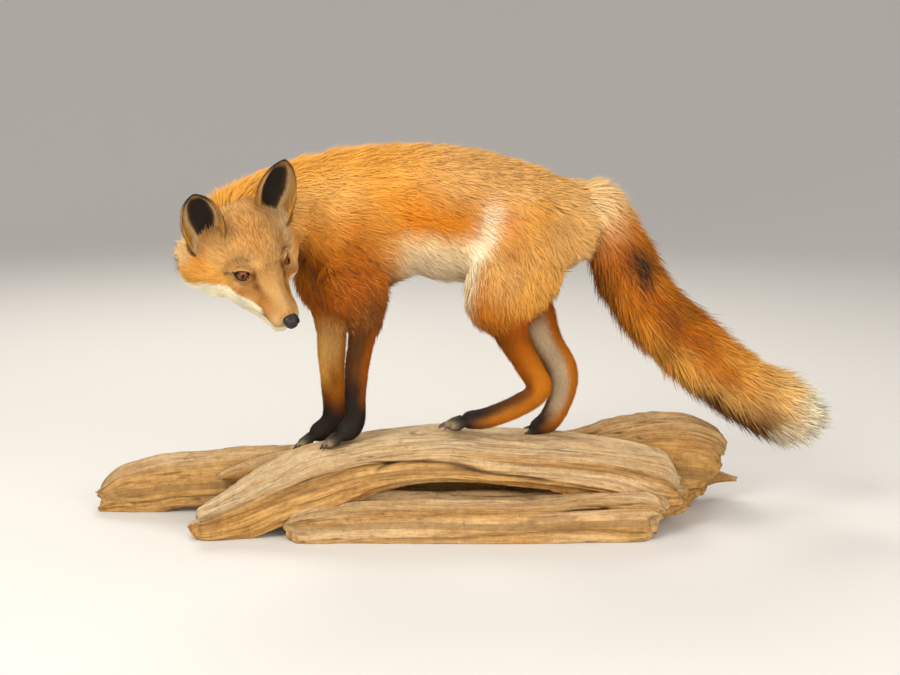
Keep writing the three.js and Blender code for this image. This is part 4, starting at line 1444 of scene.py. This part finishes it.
def headColour(points):
    h = onLeft(points)
    f, l, u = h.T
    colour = along(f, (-80, "orange"), (-50, "tan"))
    colour = blendOver(colour, "amber", 0.40 * blob(h, (-18, 0, 28), (34, 22, 20)))
    colour = blendOver(colour, "gold", 0.9 * smooth(2, -8, u) * smooth(8, -14, f))
    colour = blendOver(colour, "paleGold", smooth(-42, -66, f + 0.25 * u))
    colour = patched(colour, h, cheekPatches)
    bridge = 0.55 * smooth(46, 58, f) * smooth(-16, -24, u) + 0.35 * blob(h, (46, 0, -4), (20, 7, 8))
    colour = patched(blendOver(colour, "cream", bridge), h, darkPatches)
    temple = 0.9 * blob(points, (-34, 52, 8), (22, 18, 20)) + 0.5 * blob(points, (-12, 40, 6), (12, 12, 12))
    eyelid = 0.25 * blob(h, (0, 20, 18), (10, 8, 7)) + 0.4 * blob(h, (4, 34, -8), (9, 8, 4))
    cheek = 0.75 * smooth(-35, -60, f) * smooth(44, 60, l) + 0.5 * blob(h, (-46, 66, -6), (12, 12, 12))
    for pale in (temple, eyelid, cheek):  # the temple is pale on the left side only
        colour = blendOver(colour, "cream", pale)
    colour = colour * (0.87 + 0.09 * fractal(points, 12, 2, 62))[:, None]
    line = np.interp(f, *whiteLine) + 1.2 * noise(points, 6, 61)
    jaw = blendOver(np.tile(hues["white"], (len(f), 1)), "paleGold", smooth(-30, -64, f))
    colour = blendOver(colour, jaw, smooth(1.6, -1.6, u - line))
    edge = 0.6 * hump(u - line - 1.6, 1.8) * smooth(20, 36, f)
    colour = blendOver(colour, "brown", edge)
    off = u - np.interp(f, *mouthLine)
    colour = blendOver(colour, "brown", 0.75 * hump(off - 1.2, 2.6) * smooth(34, 44, f))
    colour = blendOver(colour, "black", 0.95 * hump(off, 1.4) * smooth(26, 38, f))
    return np.clip(colour, 0, 1)


def earColour(ear):
    v, edge, inner = ear["v"], np.abs(ear["edge"]), ear["inner"]
    outer = along(v, (0, "orange"), (0.22, "amber"), (0.42, "brown"), (0.6, "black"))
    outer = blendOver(outer, "dun", 0.9 * smooth(0.72, 0.9, edge) * smooth(0.9, 0.65, v))
    dark = edge / np.interp(v, (0, 0.3, 0.7, 1), (0.8, 1.1, 0.95, 0.6))
    cup = along(
        dark, (0, "black"), (0.24, "black"), (0.38, "brown"), (0.50, "cream"), (0.7, "paleGold"),
        (1, "gold"),
    )
    cup = blendOver(cup, "cream", smooth(-0.02, -0.12, v))
    cup = blendOver(cup, "dun", 0.7 * smooth(0.76, 0.86, v))
    rim = np.maximum(smooth(0.95, 0.985, edge) * smooth(0.30, 0.60, v), smooth(0.93, 0.965, v))
    cup = blendOver(cup, "black", rim)
    return outer + (cup - outer) * inner[:, None]


# coat


def tangent(direction, normal):
    return direction - dot(direction, normal)[:, None] * normal


def tangential(direction, normal):
    return unit(tangent(direction, normal))


def bodyFlow(points, normal, guide, weight):  # the lie of the coat: away from the head, down the legs
    total = np.zeros_like(points)
    for index, name in enumerate(limbNames):
        g = guide[name]
        way = g["tangent"] * (-1 if name == "neck" else 1)
        if name in ("trunk", "neck"):
            fall = 0.34 + 0.55 * smooth(-0.1, -0.6, np.sin(g["angle"]))
            way = way + fall[:, None] * np.array([0.1, 0, -1])
        elif name != "tail":
            way = way + np.array([0.85, 0, 0.15]) * smooth(0.5, 0.15, g["t"])[:, None]
        total += weight[index][:, None] * way
    return tangential(total, normal)


def headFlow(points, normal):  # away from the nose, fanning out over the cheeks and round the eyes
    away = unit(points - np.array([72, 0, -24]))
    side = np.sign(points[:, 1])[:, None] * np.array([0, 1, 0])
    cheek = smooth(20, -30, points[:, 0])[:, None] * smooth(15, -15, points[:, 2])[:, None]
    way = away + cheek * (0.55 * side + [0, 0, -0.35])
    for name in sides:
        arm = points - np.array(eyeSet[name])
        near = hump(np.linalg.norm(arm, axis=1), 15)[:, None]
        way = way + near * unit(arm) * 0.8
        arm = points - mirrored(earSet["base"], sides[name])
        near = hump(np.linalg.norm(arm, axis=1), 26)[:, None]
        way = way + near * unit(mirrored(np.array([-0.3, 0.25, 0.9]), sides[name])) * 1.6
    return tangential(way, normal)


def scattered(verts, tris, density, dice):
    # spreads tuft roots over triangles by area times density, in evenly spaced draws
    a, b, c = (verts[tris[:, k]] for k in range(3))
    area = np.linalg.norm(np.cross(b - a, c - a), axis=1) / 2
    total = np.cumsum(area * density[tris].mean(1))
    count = int(total[-1])
    draws = (np.arange(count) + dice.random(count)) * total[-1] / count
    pick = np.minimum(np.searchsorted(total, draws), len(tris) - 1)
    r, q = np.sqrt(dice.random(count)), dice.random(count)
    share = np.stack([1 - r, r * (1 - q), r * q], -1)
    corner = tris[pick]

    def take(values):  # the tufts' own values, out of those at the skin's points
        part = share.reshape(count, 3, *[1] * (values.ndim - 1))
        return sum(part[:, k] * values[corner[:, k]] for k in range(3))

    return take


def lockPull(points, size, seed):
    # slope of a sum of sines: tips that follow it gather into locks at its crests
    dice = np.random.default_rng(seed)
    pull = np.zeros_like(points)
    for _ in range(7):
        way = unit(dice.normal(size=3)) * (2 * np.pi / size) * dice.uniform(0.7, 1.4)
        pull += np.cos(points @ way + dice.uniform(0, 6.3))[:, None] * unit(way)
    return pull / 2.2


def growTufts(roots, normal, flow, hair, width, lift, gather, dice):
    # a thin blade: its first stretch rises at lift[0] degrees and the second lies at lift[1]. A bent
    # blade is a point, a ring of three and a point; a short one a ring of three and a point
    count = len(roots)
    spin = np.radians(dice.normal(0, 9, count) + 11 * noise(roots, 22, 71) + 8 * noise(roots, 8, 72))
    side = np.cross(flow, normal)
    flow = np.cos(spin)[:, None] * flow + np.sin(spin)[:, None] * side
    side = np.cross(flow, normal)
    hair = hair * dice.uniform(0.70, 1.18, count) * (1 + 0.10 * noise(roots, 18, 73))
    steep = np.clip(dice.normal(1, 0.22, count), 0.4, 1.8)
    rise = [np.radians(np.clip(angle * steep, 2, 75)) for angle in lift]
    way = [np.cos(r)[:, None] * flow + np.sin(r)[:, None] * normal for r in rise]
    bent = not np.array_equal(*lift)
    start = roots - 0.8 * normal
    mid = start + (0.42 * hair)[:, None] * way[0]
    pull = lockPull(roots, 15, 81) + 0.9 * lockPull(roots, 32, 82)
    tip = mid + (0.58 * hair)[:, None] * way[1] + (gather * hair)[:, None] * tangent(pull, normal)
    half = (width * dice.uniform(0.75, 1.25, count) / 2)[:, None]
    middle = mid if bent else start
    ring = [middle - half * side, middle + half * side, middle + normal * half * 0.9]
    if bent:
        verts = np.stack([start, *ring, tip], 1)
        pattern = [[0, 1, 2], [0, 2, 3], [0, 3, 1], [4, 2, 1], [4, 3, 2], [4, 1, 3]]
        place = np.array([0, 0.45, 0.45, 0.45, 1.0])
    else:
        verts = np.stack([*ring, tip], 1)
        pattern = [[0, 1, 2], [0, 3, 1], [1, 3, 2], [2, 3, 0]]
        place = np.array([0.1, 0.1, 0.1, 1.0])
    faces = (np.arange(count)[:, None, None] * verts.shape[1] + np.array(pattern)[None]).reshape(-1, 3)
    lean = np.zeros_like(verts)
    lean[:, -4], lean[:, -3] = -0.55 * side, 0.55 * side
    shade = unit(normal[:, None] + lean)
    return verts.reshape(-1, 3), faces, place, shade.reshape(-1, 3)


def tuftColours(colour, place, ticks, dice):
    # painted shade: darker at the root, where the blades shade each other, and clear along the blade; some
    # tips are ticked with brown, some with cream
    count = len(colour)
    tone = np.clip(dice.normal(1, 0.10, count), 0.65, 1.35)[:, None]
    warm = dice.normal(0, 0.05, count)[:, None] * np.array([0.5, 0.0, -0.8])
    body = np.clip(colour * tone * (1 + warm), 0, 1)
    # painted shade at the root
    root = body * 0.66
    tip = np.clip(body * 1.14, 0, 1)
    draw = dice.random(count)[:, None]
    dark, pale = ticks[0][:, None], ticks[1][:, None]
    tip = np.where(draw < dark, tip * 0.28 + np.array([0.03, 0.02, 0.015]), tip)
    body = np.where(draw > 1 - pale, body * 0.7 + 0.3 * np.array(hues["tan"]), body)
    stops = np.stack([root, body, tip])
    at = np.interp(place, (0, 0.45, 1), (0, 1, 2))
    low = np.minimum(at.astype(int), 1)
    share = (at - low)[:, None, None]
    return (stops[low] * (1 - share) + stops[low + 1] * share).transpose(1, 0, 2).reshape(-1, 3)


def tuftMap(u, v, place):  # a small patch at the root's place on the unwrapped skin; u and v run 0 to 1
    patch, edge = 0.003, 0.01
    across = np.zeros(len(place))
    across[-4:-1] = (-patch / 2, patch / 2, 0.0)
    u, v = (edge + (1 - 2 * edge) * part[:, None] for part in (u, v))
    return np.stack([u + across, v + (place - 0.5) * patch], -1).reshape(-1, 2)


def spread(verts, tris, density, normal, lie, hair):  # tuft roots, their normal, flow and length
    take = scattered(verts, tris, density, dice)
    out = unit(take(normal))
    return take, take(verts), out, tangential(take(lie), out), take(hair)


def takenAngle(angle, take):  # the tufts' own angle round, from the one at the skin's points
    return np.arctan2(take(np.sin(angle)), take(np.cos(angle)))


def roundShare(angle):
    return (angle + np.pi) / (2 * np.pi)


dice = np.random.default_rng(7)  # every tuft's draws, piece after piece
coatFinish = Finish("foxHair", Roughness=0.7, Specular_IOR_Level=0.1)
coatFinish.set(Base_Color=coatFinish.attribute("coatColour", colour=True))


def coatPiece(name, blades):  # blades are (verts, faces, colours, map, shading normals) sets
    verts, faces = joined([(blade[0], [blade[1]]) for blade in blades])
    colours, uv, shade = (np.vstack([blade[k] for blade in blades]) for k in (2, 3, 4))
    piece = makePiece(name, toFrame(verts), [np.vstack(faces)], {"coatColour": colours}, uv, "OFBake")
    piece.data.normals_split_custom_set_from_vertices(shade)
    print(name, sum(len(f) for f in faces), "triangles")
    return dress(piece, coatFinish, "coat")


bodyNormal = vertexNormals(bodyVerts, bodyTris)
bodyGuide, bodyWeight = limbGuide(bodyVerts)
bodyOwner = bodyWeight.argmax(0)
bodyHues = relaxed(bodyColour(bodyVerts, bodyGuide, bodyWeight), bodyEdges, 3)
bodyNormal = unit(relaxed(bodyNormal, bodyEdges, 6))
bodyLie = relaxed(bodyFlow(bodyVerts, bodyNormal, bodyGuide, bodyWeight), bodyEdges, 40)
bodyHair = sum(w * coatOf(n, "hair", bodyGuide[n]["t"]) for n, w in zip(limbNames, bodyWeight))
headWorld = headToWorld(headVerts)
headTris = triangles(headFaces)
headNormal = vertexNormals(headVerts, headTris)
inNeck = limbGuide(headWorld)[0]["neck"]["rho"] < 0.62  # the back of the head lies deep in the neck


def coveredByHead(points):  # no coat grows where the body's skin runs inside the head
    place = worldToHead(points)
    row = catmull(headRows, np.clip((place[:, 0] + headBack) / headLength, 0, 1))
    rho = np.hypot(place[:, 1] / row[:, 3], (place[:, 2] - row[:, 2]) / row[:, 4])
    return (rho < 0.72) & (place[:, 0] > -84) & (place[:, 0] < 60)


underHead = coveredByHead(bodyVerts)
region = {  # the limbs and the span of them that each coat piece covers; tufts per square millimetre
    "coat_chest": {"limbs": ["trunk"], "span": (0, 0.36), "density": 0.46},
    "coat_flanks": {"limbs": ["trunk"], "span": (0.36, 0.70), "density": 0.45},
    "coat_rump": {"limbs": ["trunk"], "span": (0.70, 1.01), "density": 0.50},
    "coat_neck": {"limbs": ["neck"], "span": (0, 1.01), "density": 0.50},
    "coat_tail_root": {"limbs": ["tail"], "span": (0, 0.5), "density": 0.66},
    "coat_tail_end": {"limbs": ["tail"], "span": (0.5, 1.01), "density": 0.72},
    "coat_shoulders": {"limbs": ["front_left", "front_right"], "span": (0, 0.42), "density": 0.56},
    "coat_thighs": {"limbs": ["hind_left", "hind_right"], "span": (0, 0.40), "density": 0.48},
    "coat_forelegs": {"limbs": ["front_left", "front_right"], "span": (0.42, 1.01), "density": 0.85},
    "coat_hindlegs": {"limbs": ["hind_left", "hind_right"], "span": (0.40, 1.01), "density": 0.75},
}


def tickedShare(name, long, t, s):  # how many tips are ticked with dark
    if name == "trunk":
        return 0.06 + 0.24 * smooth(0.1, 0.8, s) * smooth(0.3, 0.8, t)
    if name == "tail":
        return 0.34 * smooth(0.12, 0.2, t) + 0.20 * smooth(0.8, 0.9, t)
    return {"hind": 0.22, "front": 0.38}.get(name.split("_")[0], 0.0) * long + 0.0 * t


def bodyBlades(limbName, look, slotIndex, long):
    g = bodyGuide[limbName]
    low, high = look["span"]
    own = (bodyOwner == limbNames.index(limbName)) & (g["t"] >= low) & (g["t"] < high) & ~underHead
    own &= bodyVerts[:, 2] > 1
    density = np.full(len(bodyVerts), look["density"])
    tris = bodyTris[own[bodyTris].all(1)]
    take, roots, out, flow, hair = spread(bodyVerts, tris, density, bodyNormal, bodyLie, bodyHair)
    t, angle = take(g["t"]), takenAngle(g["angle"], take)
    lift = (30, 11) if long else (18, 18)
    if limbName == "tail":
        lift = (46, 20 + 14 * smooth(0.85, 1, t))
    width = np.interp(hair, (4, 10, 30, 50), (0.6, 0.8, 1.25, 1.5))
    gather = 0.14 if long else 0.05
    verts, faces, place, shade = growTufts(roots, out, flow, hair, width, lift, gather, dice)
    tick = tickedShare(limbName, long, t, np.sin(angle))
    colours = tuftColours(take(bodyHues), place, (tick, 0.4 * tick), dice)
    across = (slotIndex + roundShare(angle)) / len(look["limbs"])
    down = np.clip((t - low) / (min(high, 1) - low), 0, 1)
    return verts, faces, colours, tuftMap(across, down, place), shade


for coatName, look in region.items():
    long = "legs" not in coatName
    coatPiece(coatName, [bodyBlades(name, look, k, long) for k, name in enumerate(look["limbs"])])

# the head's hair: length and density at distances forward, thinner and finer towards the nose
faceSet = {
    "at": (-80, -55, -35, -15, 5, 25, 62),
    "side": (28, 26, 20, 13, 8, 5.5, 3.8),
    "crown": (24, 18, 14, 12, 10, 7.5, 3.6),
    "density": (0.55, 0.7, 1.1, 1.7, 2.3, 2.8, 3.2),
}
headHues = headColour(headVerts)
headEdges = np.vstack([headTris[:, :2], headTris[:, 1:], headTris[:, ::2]])
headLie = relaxed(headFlow(headVerts, headNormal), headEdges, 30)
crownShare = smooth(0, 14, headVerts[:, 2])
nearEar = sum(blob(headVerts, mirrored(earSet["base"], side), (24, 24, 24)) for side in sides.values())
headHair = np.interp(headVerts[:, 0], faceSet["at"], faceSet["side"]) * (1 - crownShare)
headHair += np.interp(headVerts[:, 0], faceSet["at"], faceSet["crown"]) * crownShare + 4 * nearEar
openSkin = ~inNeck
for eyeName in sides:
    arm = headVerts - np.array(eyeSet[eyeName])
    ahead = dot(arm, eyeBasis(eyeName)[0])
    openSkin &= ~((np.sqrt(np.maximum((arm**2).sum(1) - ahead**2, 0)) < 11.4) & (ahead > -12))


def faceBlades(verts, tris, keep, density, hair, hues, lie, normal, bent, span=(0, 1)):
    take, roots, out, flow, length = spread(verts, tris[keep[tris].all(1)], density, normal, lie, hair)
    width = np.interp(length, (3, 6, 12, 26), (0.45, 0.65, 0.85, 1.15))
    lift = (np.interp(length, (6, 26), (16, 30)), 11) if bent else (15, 15)
    gather = 0.12 if bent else 0.07
    blade, faces, place, shade = growTufts(roots, out, flow, length, width, lift, gather, dice)
    f, u = roots[:, 0], roots[:, 2]
    tick = 0.42 * smooth(0, 14, u) * smooth(40, 5, f) + 0.06
    colours = tuftColours(take(hues), place, (tick, tick), dice)
    across = roundShare(takenAngle(np.arctan2(verts[:, 2] + 20, verts[:, 1]), take))
    share = ((verts[:, 0] + headBack) / faceLength - span[0]) / (span[1] - span[0])
    uv = tuftMap(across, np.clip(take(share), 0, 1), place)
    return headToWorld(blade), faces, colours, uv, shade @ headAxes


faceDensity = np.interp(headVerts[:, 0], faceSet["at"], faceSet["density"])
ruff = (headHair > 14.0) & (headVerts[:, 0] < 8)
for coatName, keep, bent, span in (
    ("coat_ruff", openSkin & ruff, True, (0, 0.7)),
    ("coat_brow", openSkin & ~ruff & (headVerts[:, 0] < 8), True, (0.1, 0.66)),
    ("coat_muzzle", openSkin & (headVerts[:, 0] >= 8), False, (0.62, 1.0)),
):
    arrays = (faceDensity, headHair, headHues, headLie, headNormal)
    coatPiece(coatName, [faceBlades(headVerts, headTris, keep, *arrays, bent, span)])


def lidBlades(lid):
    local, tris = worldToHead(lid["verts"]), triangles(lid["faces"])
    tone = headColour(local)
    # painted shade: the lid skin is the head's colour darkened by 0.8, under its black rim
    lid["hues"] = blendOver(tone * 0.8, "black", lid["rim"])
    normal = vertexNormals(local, tris)
    keep = (lid["share"] > 0.15) & (lid["rim"] < 0.5)
    arrays = (np.full(len(local), 3.2), 2.6 + 8.5 * lid["share"], tone, headFlow(local, normal), normal)
    return faceBlades(local, tris, keep, *arrays, False)


coatPiece("coat_lids", [lidBlades(lid) for lid in lids.values()])
print("head coat made")


def earBlades(ear):
    verts, tris = ear["verts"], triangles(ear["faces"])
    inner, v, edge = ear["inner"], ear["v"], np.abs(ear["edge"])
    inward = -np.sign(ear["edge"])[:, None] * ear["across"]
    slant = 0.9 * smooth(0.35, 0.8, edge) * smooth(0.95, 0.6, v)
    lie = ear["axis"] + inner[:, None] * inward * slant[:, None]
    rimward = smooth(0.80, 0.95, np.maximum(edge, v)) * smooth(0.2, 0.5, v)
    hair = 3.6 - 2.0 * rimward + inner * 5.5 * smooth(0.25, 0.5, edge) * smooth(0.95, 0.8, edge)
    hair = hair + 4 * smooth(0.5, 0.2, v) * smooth(0.5, 0.8, edge) + 5 * smooth(-0.02, -0.16, v)
    density = (1.4 - 0.6 * inner * smooth(0.4, 0.2, edge)) * smooth(-0.42, -0.25, v)
    take, roots, out, flow, length = spread(verts, tris, density, vertexNormals(verts, tris), lie, hair)
    width = 0.35 + 0.035 * length
    blade, faces, place, shade = growTufts(roots, out, flow, length, width, (20, 20), 0.04, dice)
    ticks = 0.06 + 0 * length
    colours = tuftColours(take(ear["hues"]), place, (ticks, ticks), dice)
    # the ear's back lies in one half of its map and the cup in the other
    across = (0.49 * take(ear["inner"]) + 0.235 * (take(ear["edge"]) + 1)) / 0.98
    down = np.clip(take((v + 0.45) / 1.44), 0, 1)
    return blade, faces, colours, tuftMap(across, down, place), shade


for earName, ear in ears.items():
    ear["hues"] = earColour(ear)
    coatPiece(f"coat_ear_{earName}", [earBlades(ear)])

# the skin that carries the coat: body, head, ears and lids in one piece

skinParts = [(bodyVerts, [bodyQuads]), (headWorld, headFaces)]
skinParts += [(part["verts"], part["faces"]) for part in (*ears.values(), *lids.values())]
skinVerts, skinFaces = joined([(v, outward(v, f)) for v, f in skinParts])
# painted shade: the skin under the coat takes the hair's colours darkened, by 0.75 on the body and 0.8 on the
# head, ears and lids
headShades = [headHues * 0.8, *[ear["hues"] * 0.8 for ear in ears.values()]]
skinHues = np.vstack([bodyHues * 0.75, *headShades, *[lid["hues"] for lid in lids.values()]])
skinFinish = Finish("foxSkin", Roughness=0.75, Specular_IOR_Level=0.25)
skinFinish.set(Base_Color=skinFinish.attribute("coatColour", colour=True))
nap = skinFinish.noise(skinFinish.objectPlace(), 700.0, detail=3)
skinFinish.bump(nap, 0.6, 0.0008)
skinPiece = makePiece("fox_skin", toFrame(skinVerts), skinFaces, {"coatColour": skinHues})
flesh = ["head", "ear_left", "ear_right"] + [node for limb in limbs.values() for node in limb["nodes"]]
dress(skinPiece, skinFinish, "coat", *flesh)
print("skin made")
